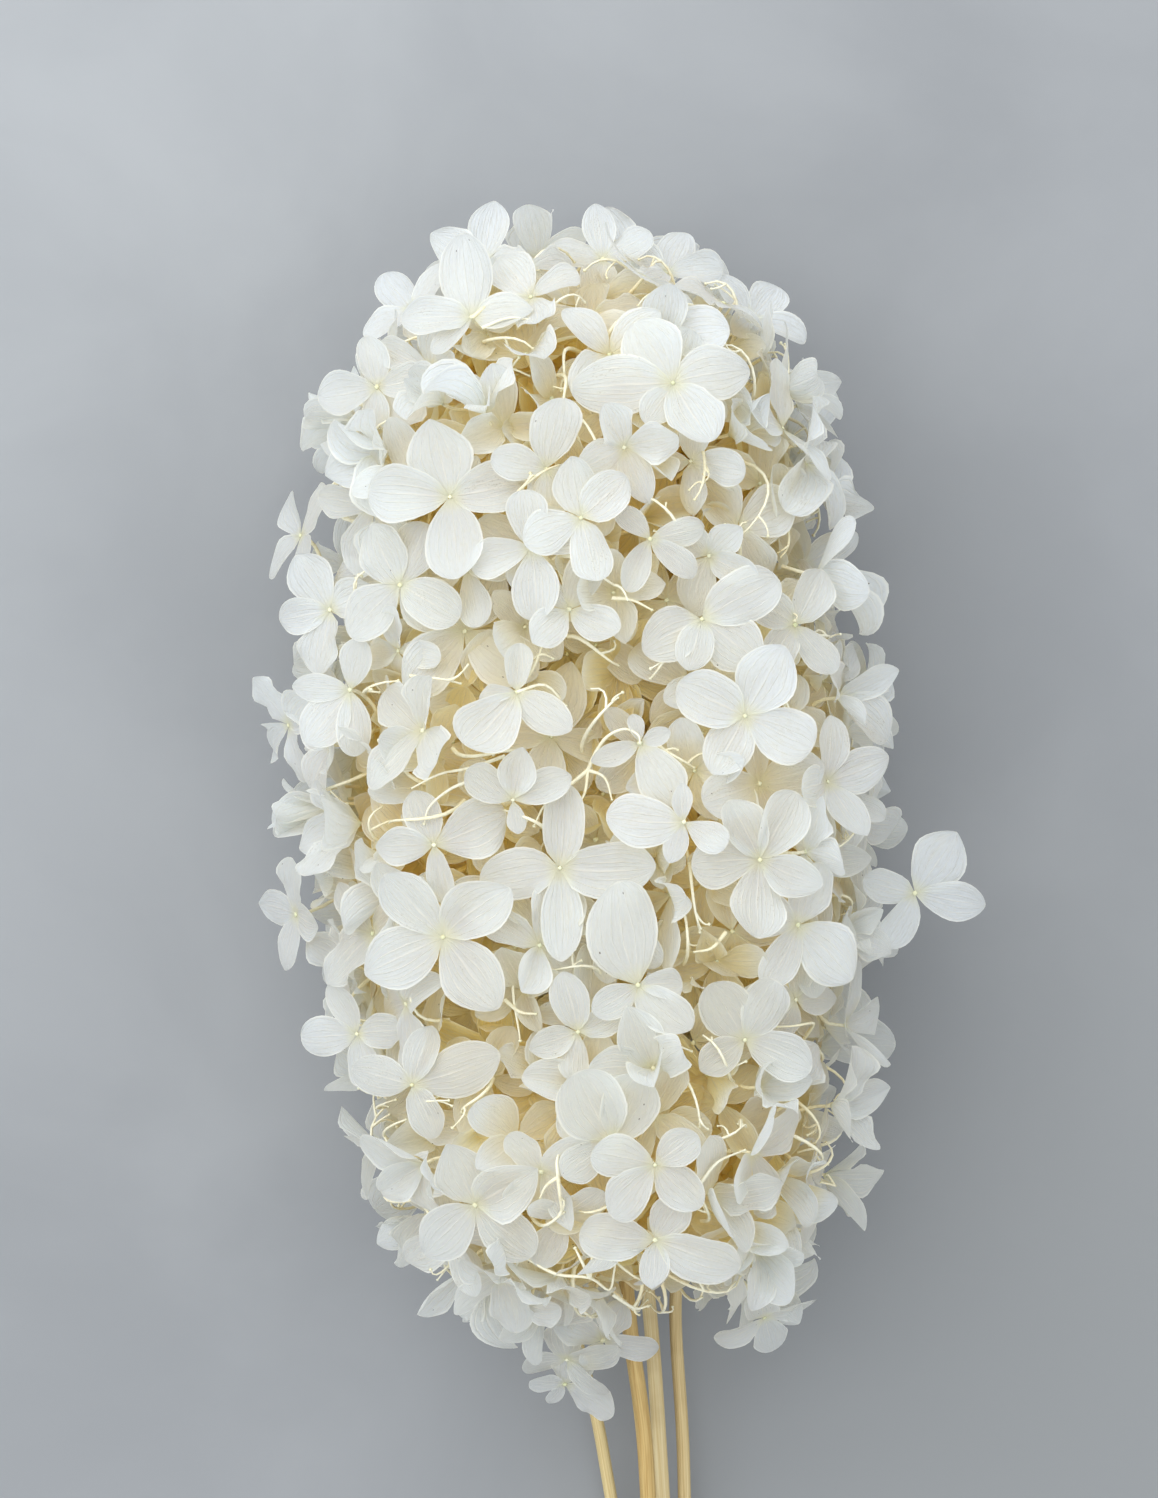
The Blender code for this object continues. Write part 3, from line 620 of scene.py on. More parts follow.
def draw_bare_twig(draw, spot):
    """A twig that rises between the florets near a point of the surface and arches over."""
    out = np.array(outward(spot))
    aside = np.cross(out, spread(draw, 1))
    aside /= np.linalg.norm(aside)
    across = np.cross(out, aside)
    reach = draw.uniform(*BARE_REACHES) * MM
    foot = spot - draw.uniform(*BARE_FEET) * MM * out - 0.4 * reach * aside
    tip = spot - draw.uniform(*BARE_TIPS) * MM * out + 0.6 * reach * aside
    tip = tip + draw.gauss(0, 0.25) * reach * across
    rise = draw.uniform(*BARE_RISES) * MM * out
    curve = draw.gauss(0, 0.3) * reach * across
    bends = foot + 0.15 * reach * aside + rise + curve, tip - 0.25 * reach * aside + rise
    return bezier(foot, *bends, tip, 9)


def crossed(tree, path):
    """How many petals a path crosses."""
    steps = [(Vector(start), Vector(end - start)) for start, end in zip(path, path[1:])]
    return sum(tree.ray_cast(start, way, way.length)[0] is not None for start, way in steps)


def how_open(tree, path):
    """How many of a twig's points nothing covers, less the petals that it crosses."""
    seen = 0
    for point in path[2:]:
        out = outward(point)
        seen += tree.ray_cast(Vector(point) + BARE_LIFT * out, out, BARE_SIGHT)[0] is None
    return seen - BARE_CROSSED * crossed(tree, path[1:])


def draw_forks(draw, tree, path):
    """Up to three short side twigs that cross no petal."""
    forks = []
    for _ in range(draw.choice((1, 2, 3))):
        fork = path[int(len(path) * draw.uniform(0.45, 0.85))]
        way = Vector(path[-1] - path[-2]).normalized() + Vector(spread(draw, 0.8))
        way = np.array(way.normalized())
        length = draw.uniform(*FORK_LENGTHS) * MM
        end = fork + length * way
        bend = spread(draw, 0.2) * length
        side = bezier(fork, fork + 0.4 * length * way + bend, end - 0.3 * length * way + bend, end, 5)
        if not crossed(tree, side):
            forks.append(side)
    return forks


def place_twigs(florets):
    """Bare twigs for each head, where they show between its florets."""
    draw = random.Random(SEED + 2)
    tree = petals_tree([floret for name in HEADS for floret in florets[name]])
    twigs = {name: [] for name in HEADS}
    for marks in TWIGS:
        path = [seen_at(mark[:2], mark[2] * MM) for mark in marks]
        path = np.array(smooth_path(path, 4))
        twigs[head_holding(path[0])].append((path, []))
    names, points = surface_spread()
    bare = np.full(len(points), 1.0)
    for _ in range(BARE_SPOTS):
        index = int(bare.argmax())
        bare = np.minimum(bare, np.linalg.norm(points - points[index], axis=1))
        found = []
        for attempt in range(BARE_TRIES):
            path = draw_bare_twig(draw, points[index])
            found.append((how_open(tree, path), attempt, path))
        best = max(found, key=lambda each: each[:2])
        if best[0] >= BARE_OPEN:
            twigs[names[index]].append((best[2], draw_forks(draw, tree, best[2])))
    return twigs


def place_shown(bunch, draw):
    """The florets that the photograph shows, each at the depth where it crosses least."""
    for name, *row in STRAYS:
        bunch.keep(name, shown_floret(draw, row[:3], row[3:6], row[6:]))
    for x, y, right, top, *petals in SHOWN:
        tries = []
        for depth in SHOWN_DEPTHS:
            floret = shown_floret(draw, seen_at((x, y), depth), (right, top, 1.0), petals)
            tries.append((bunch.crossings(floret), len(tries), floret))
        bunch.keep(head_holding(seen_at((x, y))), min(tries)[2])


def place_in_gaps(bunch, draw):
    for pixel, _ in GAPS:
        for depth, golden in GAP_DEPTHS:
            aside = np.array([draw.gauss(0, GAP_SHIFT), draw.gauss(0, GAP_SHIFT), 0])
            place = seen_at(pixel, depth) + aside
            facing = (draw.gauss(0, GAP_LEAN), draw.gauss(0, GAP_LEAN), 1.0)
            if depth_in_bunch(place) < GAP_INSIDE:
                floret = draw_floret(draw, place, facing, draw.uniform(*GAP_REACHES), 1)
                floret.golden = golden
                if bunch.crossings(floret) < HIDING:
                    bunch.keep(head_holding(place), floret)


def least_crossing(bunch, draw, at, reaches, tries, layer):
    """The best of some random florets near a spot under a point of the surface, after its crossings."""
    found = []
    out = outward(at[0])
    for attempt in range(tries):
        lean = Vector(spread(draw, WILD_LEAN if draw.random() < WILD_SHARE else LEAN))
        facing = (out + lean).normalized()
        place = at[1] + draw.uniform(*SHIFTS) * np.array(out)
        floret = draw_floret(draw, place, facing, draw.uniform(*reaches), layer)
        found.append((bunch.crossings(floret), attempt, floret))
    return min(found)[0], min(found)[2]


def place_florets():
    draw = random.Random(SEED)
    bunch = Bunch()
    place_shown(bunch, draw)
    place_in_gaps(bunch, draw)
    names, points = surface_spread()
    centres = np.array([HEADS[name]["centre"] for name in names])
    gaps = [(seen_at(pixel, GAP_MIDDLE), radius * MM) for pixel, radius in GAPS]
    for layer, (depth, space, most, reaches, tries) in enumerate(LAYERS):
        spots = centres + depth * (points - centres)
        bare = np.full(len(spots), 1.0)
        for floret in bunch.placed:
            if floret.layer == layer:
                bare = np.minimum(bare, np.linalg.norm(spots - floret.place, axis=1))
        if layer < len(GAP_MARGINS):
            for spot, radius in gaps:
                bare[np.linalg.norm(spots - spot, axis=1) < radius + GAP_MARGINS[layer]] = 0
        for _ in range(most):
            index = int(bare.argmax())
            if bare[index] < space:
                break
            at = points[index], spots[index]
            crossings, floret = least_crossing(bunch, draw, at, reaches, tries, layer)
            if crossings < SHUT:
                bunch.keep(names[index], floret)
            bare = np.minimum(bare, np.linalg.norm(spots - spots[index], axis=1))
    fill_holes(bunch, draw, names, points)
    return bunch.florets


# Meshes


class Maker:
    """Gathers points, faces and what the materials read, and makes one mesh of them."""

    def __init__(self):
        self.points, self.faces, self.uvs, self.tones, self.count = [], [], [], [], 0

    def add(self, points, faces, tone, uv=None):
        """Takes faces as an array where all have four corners, and else as a list."""
        if isinstance(faces, np.ndarray):
            self.faces.extend((faces + self.count).tolist())
        else:
            self.faces.extend([[index + self.count for index in face] for face in faces])
        self.points.append(points)
        self.uvs.append(np.zeros((len(points), 2)) if uv is None else uv)
        self.tones.append(np.broadcast_to(np.asarray(tone, dtype=float), (len(points), 3)))
        self.count += len(points)

    def build(self, name, material):
        """Makes the mesh, in the model's axes."""
        points = np.concatenate(self.points) + BUNCH_PLACE
        mesh = bpy.data.meshes.new(name)
        mesh.from_pydata(points.tolist(), [], self.faces)
        corners = np.empty(len(mesh.loops), dtype=np.int32)
        mesh.loops.foreach_get("vertex_index", corners)
        layer = mesh.uv_layers.new(name="along_across")
        uvs = np.concatenate(self.uvs)[corners]
        layer.data.foreach_set("uv", uvs.astype(np.float32).ravel())
        colours = np.ones((len(points), 4), dtype=np.float32)
        colours[:, :3] = np.concatenate(self.tones)
        attribute = mesh.color_attributes.new("tone", "FLOAT_COLOR", "POINT")
        attribute.data.foreach_set("color", colours.ravel())
        mesh.shade_smooth()
        mesh.materials.append(material)
        obj = bpy.data.objects.new(name, mesh)
        bpy.context.scene.collection.objects.link(obj)
        return obj


# Where along the bunch its flowers start and end, and how grey they are there, as painted shade, and where
# they are thin.
LOWEST, HIGHEST = -0.125, 0.10
END_PAINTED_SHADE, THIN_GREY, LESS_GREY = 0.6, 0.6, 0.06
# How golden a petal is, by its depth, partly painted glow, and by what covers it, as painted shade.
GOLD_INSIDE, GOLD_PAINTED_SHADE, LESS_GOLD = 0.85, 0.45, 0.15
GOLD_OVER = 0.12
# What covers a petal, for its painted shade, is looked for along the way out of the bunch and around it.
COVER_TURNS = (0.3, 1.87, 3.44, 5.01)
COVER_ASIDE, COVER_LIFT, COVER_REACH = 0.8, 0.0006, 0.03


def grey_and_painted_shade(floret):
    """Grey that is more at the cut end of the bunch, as painted shade where the light falls off, and in thin
    florets.
    """
    end = float(np.clip((HIGHEST - floret.place[1]) / (HIGHEST - LOWEST), 0, 1))
    return END_PAINTED_SHADE * end + THIN_GREY * floret.thin - LESS_GREY


def tones(own, gold_and_painted_glow, other):
    """What the materials read at each point: its own draw, its gold by depth and on petals by cover, which is
    partly painted glow and shade, and a third value.
    """
    gold_and_painted_glow = np.asarray(gold_and_painted_glow, dtype=float)
    return np.stack([np.full_like(gold_and_painted_glow, own), gold_and_painted_glow, np.full_like(gold_and_painted_glow, other)], axis=-1)


def cover(tree, floret):
    """How much other petals cover each coarse point of a floret's petals, from 0 to 1, for painted shade."""
    out = outward(floret.place)
    aside = out.orthogonal()
    ways = [out]
    for turn in COVER_TURNS:
        ways.append((out + COVER_ASIDE * (Matrix.Rotation(turn, 3, out) @ aside)).normalized())
    shares = []
    for petal in floret.petals:
        hits = []
        for point in floret.world(petal, *COARSE):
            starts = [(Vector(point) + COVER_LIFT * way, way) for way in ways]
            hits.append(sum(tree.ray_cast(start, way, COVER_REACH)[0] is not None for start, way in starts))
        shares.append(np.array(hits).reshape(COARSE) / len(ways))
    return shares


def finer(rows, cols):
    """Matrices that spread a coarse grid's values over a finer grid."""
    known, wanted = along_petal(COARSE[0]), along_petal(rows)
    down = np.stack([np.interp(wanted, known, row) for row in np.eye(COARSE[0])], axis=1)
    known, wanted = np.linspace(0, 1, COARSE[1]), np.linspace(0, 1, cols)
    over = np.stack([np.interp(wanted, known, row) for row in np.eye(COARSE[1])], axis=1)
    return down, over


FINER = {layer: finer(*grid) for layer, grid in FINE.items()}


def grid_uv(along, across):
    """Every pair of the shares along and across, in the order of a grid's points."""
    return np.stack(np.meshgrid(along, across, indexing="ij"), axis=-1).reshape(-1, 2)


def add_petals(maker, tree, floret):
    rows, cols = FINE[floret.layer]
    down, over = FINER[floret.layer]
    uv = grid_uv(along_petal(rows), np.linspace(0, 1, cols))
    for petal, covered in zip(floret.petals, cover(tree, floret)):
        points = floret.world(petal, rows, cols)
        # Painted shade and glow: a petal turns cream where others cover it, and golden deeper in, partly its
        # own tone.
        shade = (down @ covered @ over.T).ravel()
        least = floret.golden * np.clip((1 - depth_in_bunch(points)) / GOLD_OVER, 0, 1)
        gold_and_painted_glow = np.clip(GOLD_INSIDE * inwardness(points) + GOLD_PAINTED_SHADE * shade - LESS_GOLD, least, 1)
        maker.add(points, grid_faces(rows, cols), tones(petal.tone, gold_and_painted_glow, grey_and_painted_shade(floret)), uv)


def tube_points(path, radii, sides):
    """Rings of points along a path."""
    path = np.asarray(path, dtype=float)
    tangents = np.gradient(path, axis=0)
    tangents /= np.linalg.norm(tangents, axis=1)[:, None] + 1e-12
    normal = np.cross(tangents[0], (0.31, 0.53, 0.79))
    rings = []
    turns = np.linspace(0, 2 * np.pi, sides, endpoint=False)
    for place, tangent, radius in zip(path, tangents, radii):
        normal = normal - (normal @ tangent) * tangent
        normal /= np.linalg.norm(normal)
        other = np.cross(tangent, normal)
        rings.append(place + radius * (np.cos(turns)[:, None] * normal + np.sin(turns)[:, None] * other))
    return np.concatenate(rings)


@functools.cache
def tube_faces(rings, sides):
    """The faces between the rings of a tube's points."""
    side = np.arange(sides)
    after = (side + 1) % sides
    first = np.stack([side, after, sides + after, sides + side], axis=-1)
    return (np.arange(rings - 1)[:, None, None] * sides + first).reshape(-1, 4)


def add_tube(maker, path, radii, sides, own):
    rings = len(path)
    points = pressed(tube_points(path, radii, sides))
    uv = grid_uv(np.linspace(0, 1, rings), np.arange(sides) / sides)
    maker.add(points, tube_faces(rings, sides), tones(own, inwardness(points), 0), uv)


BUD_LOBES = 0.14


def bud_shape(rings, sides):
    """A small four-lobed bud, as points and faces."""
    points = [(0, 0, 1.0)]
    for ring in range(1, rings):
        tilt = math.pi * ring / rings
        for side in range(sides):
            turn = 2 * math.pi * side / sides
            radius = math.sin(tilt) * (1 + BUD_LOBES * math.cos(4 * turn))
            points.append((radius * math.cos(turn), radius * math.sin(turn), math.cos(tilt)))
    points.append((0, 0, -1.0))
    last = len(points) - 1
    faces = []
    for side in range(sides):
        after = (side + 1) % sides
        faces.append((0, 1 + side, 1 + after))
        faces.append((last, last - sides + after, last - sides + side))
        for ring in range(rings - 2):
            base = 1 + ring * sides
            faces.append((base + side, base + sides + side, base + sides + after, base + after))
    return np.array(points), faces


EYE = bud_shape(5, 12)
BUD = bud_shape(4, 6)


def add_bud(maker, shape, place, axes, size, tone):
    points, faces = shape
    maker.add(pressed(place + points * size @ axes.T), faces, tone)


# Radii in mm, a twig's taper, and a bud's tone, from withered at -1 over straw at 0 to an eye's green at 1.
TWIG_RADII, TWIG_TAPER, FORK_TAPER = (0.34, 0.45), (1.2, 0.5), (0.75, 0.42)
TWIG_BUD_RADII, EYE_RADII, FERTILE_RADII, FERTILE_STALK = (0.26, 0.42), (0.42, 0.62), (0.45, 0.75), 0.22
TWIG_SIDES, STALK_SIDES, TWIG_BUD_GREEN = 6, 4, 0.35
FERTILE_BUDS, FERTILE_LENGTHS, FRESH_SHARE = 6, (5, 10), 0.75


def add_bare_twig(maker, path, forks, draw):
    """A twig and its side twigs, each with a small bud at its end, where its flower fell."""
    thick = draw.uniform(*TWIG_RADII) * MM
    own = draw.random()
    add_tube(maker, path, np.linspace(*TWIG_TAPER, len(path)) * thick, TWIG_SIDES, own)
    for side in forks:
        add_tube(maker, side, np.linspace(*FORK_TAPER, len(side)) * thick, TWIG_SIDES, own)
    for side in (path, *forks):
        end, way = side[-1], side[-1] - side[-2]
        size = draw.uniform(*TWIG_BUD_RADII) * MM
        tone = (own, inwardness(end), TWIG_BUD_GREEN)
        add_bud(maker, BUD, end, axes_facing(way, 0), np.array((size, size, 0.9 * size)), tone)


def add_eye(maker, floret, draw):
    size = draw.uniform(*EYE_RADII) * MM
    place = floret.place + 0.1 * MM * floret.axes[:, 2]
    shape = EYE if floret.layer == 0 else BUD
    tone = (draw.random(), inwardness(floret.place), draw.uniform(0.5, 1))
    add_bud(maker, shape, place, floret.axes, np.array((size, size, size * 0.5)), tone)


def add_fertile_buds(maker, hub, away, draw):
    """Small withered flowers on thin stalks, in among the branches."""
    for _ in range(FERTILE_BUDS):
        way = Vector(away) + Vector(spread(draw, 0.7))
        way = np.array(way.normalized())
        length = draw.uniform(*FERTILE_LENGTHS) * MM
        bend = spread(draw, 1.2) * MM
        end = hub + length * way
        path = bezier(hub, hub + 0.4 * length * way + bend, end - 0.3 * length * way + bend, end, 5)
        own = draw.random()
        add_tube(maker, path, np.full(len(path), FERTILE_STALK * MM), STALK_SIDES, own)
        size = draw.uniform(*FERTILE_RADII) * MM
        dark = 0.0 if draw.random() < FRESH_SHARE else -1.0
        tone = (own, inwardness(end), dark)
        add_bud(maker, BUD, end, axes_facing(way, 0), np.array((size, size, 1.3 * size)), tone)


def gather(places, size):
    """Sorts places into groups of about size, and gives each place's group."""
    middles = [0]
    bare = np.linalg.norm(places - places[0], axis=1)
    while len(middles) < len(places) / size:
        middles.append(int(bare.argmax()))
        bare = np.minimum(bare, np.linalg.norm(places - places[middles[-1]], axis=1))
    apart = np.linalg.norm(places[:, None] - places[middles][None], axis=2)
    return apart.argmin(axis=1)


# Radii in mm from foot to tip, of branches and of the knots where they meet.
PEDICEL, BRANCH, LIMB = (0.40, 0.50), (0.65, 0.50), (1.1, 0.65)
NODE_RADII, HUB_RADIUS = (0.8, 1.1), 1.1
# How many florets meet at a node, how far below them in mm, and how many nodes meet at a hub and how far out.
NODE_GROUP, NODE_DROPS = 3, (7, 12)
HUB_GROUP, HUB_OUT = 5, 0.60


def add_twig(maker, start, way, end, radii, draw):
    """A branch that leaves its start the way given and bends to its end."""
    reach = np.linalg.norm(end - start)
    bend = spread(draw, 0.12) * reach
    path = bezier(start, start + 0.45 * reach * np.array(way), end + 0.3 * (start - end) + bend, end, 8)
    add_tube(maker, path, np.linspace(*radii, len(path)) * MM, TWIG_SIDES, draw.random())


def add_node(maker, place, size, draw):
    tone = (draw.random(), inwardness(place), 0.0)
    add_bud(maker, BUD, place, axes_facing((0.1, 0.2, 1), 0), size * MM, tone)


def add_branches(maker, name, florets, draw):
    """Pedicels from the florets to nodes, and branches from the nodes to the hubs and on to the stem."""
    centre = np.array(HEADS[name]["centre"])
    nodes = []
    for layer in (0, 1):
        mine = [floret for floret in florets if floret.layer == layer]
        places = np.array([floret.place for floret in mine])
        groups = gather(places, NODE_GROUP)
        for group in range(groups.max() + 1):
            inside = places[groups == group].mean(axis=0) - centre
            drop = draw.uniform(*NODE_DROPS) * MM / np.linalg.norm(inside)
            node = centre + (1 - drop) * inside
            nodes.append(node)
            for floret, its in zip(mine, groups):
                if its == group:
                    start = floret.place - 0.2 * MM * floret.axes[:, 2]
                    add_twig(maker, start, -floret.axes[:, 2], node, PEDICEL, draw)
            add_node(maker, node, draw.uniform(*NODE_RADII), draw)
    nodes = np.array(nodes)
    groups = gather(nodes, HUB_GROUP)
    root = np.array(STEMS[name]["points"][0])
    hubs = []
    for group in range(groups.max() + 1):
        hub = centre + HUB_OUT * (nodes[groups == group].mean(axis=0) - centre)
        hubs.append(hub)
        out = (hub - centre) / np.linalg.norm(hub - centre)
        for node in nodes[groups == group]:
            add_twig(maker, hub, out, node, BRANCH, draw)
        add_twig(maker, root, out, hub, LIMB, draw)
        add_node(maker, hub, HUB_RADIUS, draw)
        add_fertile_buds(maker, hub, out, draw)
    hubs = np.array(hubs)
    for floret in florets:
        add_eye(maker, floret, draw)
        if floret.layer == 2:
            hub = hubs[np.linalg.norm(hubs - floret.place, axis=1).argmin()]
            add_twig(maker, floret.place, -floret.axes[:, 2], hub, PEDICEL, draw)


# Stems


def smooth_path(points, steps):
    """A smooth curve through the points, with so many steps between two of them."""
    known = [Vector(point) for point in points]
    known = [2 * known[0] - known[1]] + known + [2 * known[-1] - known[-2]]
    path = []
    for before, start, end, after in zip(known, known[1:], known[2:], known[3:]):
        for step in range(steps):
            t = step / steps
            square = (2 * before - 5 * start + 4 * end - after) * t**2
            cube = (3 * start - before - 3 * end + after) * t**3
            path.append(0.5 * (2 * start + (end - before) * t + square + cube))
    return path + [known[-2]]


def gathered_places():
    """Where each stem lies on the surface, side by side with the others."""
    thick = {name: STEMS[name]["radii"][1] for name in STEM_ROW}
    x = GATHER[0] - sum(thick.values()) - STEM_SPACE * (len(STEM_ROW) - 1) / 2
    places = {}
    for name in STEM_ROW:
        places[name] = (x + thick[name], GATHER[1], thick[name])
        x += 2 * thick[name] + STEM_SPACE
    return places


STEM_STEPS, STEM_SIDES = 16, 16
PITH_SHARE = 0.5


def add_stem(maker, name):
    """A grooved stem with a cap at each end, a rim round its pith."""
    thin, thick = STEMS[name]["radii"]
    marks = (*STEMS[name]["points"], gathered_places()[name], (*STEM_ENDS[name], thick))
    path = smooth_path(marks, STEM_STEPS)
    radii = np.linspace(thin, thick, len(path))
    for place, radius in zip(path, radii):
        place.z = max(place.z, radius)
    path = np.array(path)
    rings, sides = len(path), STEM_SIDES
    points = tube_points(path, radii, sides).reshape(rings, sides, 3)
    turns = np.linspace(0, 2 * np.pi, sides, endpoint=False)
    along = np.linspace(0, 1, rings)
    groove = 0.05 * np.sin(3 * turns + 4 * along[:, None]) + 0.02 * np.sin(7 * turns - 9 * along[:, None])
    points = path[:, None] + (points - path[:, None]) * (1 - np.abs(groove))[..., None]
    uv = grid_uv(along, np.arange(sides) / sides)
    maker.add(points.reshape(-1, 3), tube_faces(rings, sides), (0.5, 0.0, 0.0), uv)
    for ring in (0, rings - 1):
        rim, middle = points[ring], path[ring]
        cap = np.concatenate([rim, middle + PITH_SHARE * (rim - middle), middle[None]])
        faces = []
        for side in range(sides):
            after = (side + 1) % sides
            quad = (side, after, sides + after, sides + side)
            tri = (sides + side, sides + after, 2 * sides)
            faces += [quad, tri] if ring else [quad[::-1], tri[::-1]]
        maker.add(cap, faces, (0.5, 1.0, 1.0))


# Materials


# How far apart the petals lie in their patterns of cells, from the first petal to the last.
CELLS_APART = 371.0


class Graph:
    """A material's nodes, with short ways to add and join them."""

    def __init__(self, name):
        self.material = bpy.data.materials.new(name)
        self.material.use_nodes = True
        self.tree = self.material.node_tree
        self.shader = self.tree.nodes["Principled BSDF"]
        self.output = self.tree.nodes["Material Output"]

    def node(self, kind, inputs=(), **settings):
        made = self.tree.nodes.new("ShaderNode" + kind)
        for key, value in settings.items():
            setattr(made, key, value)
        for key, value in dict(inputs).items():
            self.feed(made.inputs[key], value)
        return made

    def feed(self, socket, value):
        if isinstance(value, bpy.types.NodeSocket):
            self.tree.links.new(value, socket)
        else:
            socket.default_value = (*value, 1) if socket.type == "RGBA" else value

    def surface(self, **inputs):
        """Feeds the shader's inputs, whose names have spaces where these have _."""
        for name, value in inputs.items():
            self.feed(self.shader.inputs[name.replace("_", " ")], value)

    def math(self, operation, *values, clamp=False):
        made = self.node("Math", dict(enumerate(values)), operation=operation)
        made.use_clamp = clamp
        return made.outputs[0]

    def plus(self, first, second, clamp=False):
        return self.math("ADD", first, second, clamp=clamp)

    def minus(self, first, second):
        return self.math("SUBTRACT", first, second)

    def times(self, first, second, clamp=False):
        return self.math("MULTIPLY", first, second, clamp=clamp)

    def ramp(self, value, low, high, to_low=0.0, to_high=1.0):
        inputs = {"Value": value, "From Min": low, "From Max": high, "To Min": to_low, "To Max": to_high}
        return self.node("MapRange", inputs, interpolation_type="SMOOTHSTEP").outputs[0]

    def mix(self, share, first, second):
        made = self.node("Mix", data_type="RGBA")
        self.feed(made.inputs[0], share)
        self.feed(made.inputs[6], first)
        self.feed(made.inputs[7], second)
        return made.outputs[2]

    def noise(self, vector, scale, detail=3.0, distortion=0.0):
        inputs = {"Vector": vector, "Scale": scale, "Detail": detail, "Distortion": distortion}
        return self.node("TexNoise", inputs).outputs[0]

    def vector(self, x, y, z):
        return self.node("CombineXYZ", {0: x, 1: y, 2: z}).outputs[0]

    def cells(self, along, side, own, length, width, feature="F1"):
        """A flat pattern of so many cells along a petal and across half of it, other ones on each petal."""
        x = self.plus(self.times(along, length), self.times(own, CELLS_APART))
        inputs = {"Vector": self.vector(x, self.times(side, width), 0.0), "Scale": 1.0}
        return self.node("TexVoronoi", inputs, voronoi_dimensions="2D", feature=feature).outputs[0]

    def tone(self):
        """A point's own draw, how deep in it is, and the third value."""
        found = self.node("Attribute", attribute_name="tone").outputs["Color"]
        return self.node("SeparateColor", {0: found}).outputs

    def uv(self):
        found = self.node("UVMap", uv_map="along_across").outputs[0]
        return self.node("SeparateXYZ", {0: found}).outputs


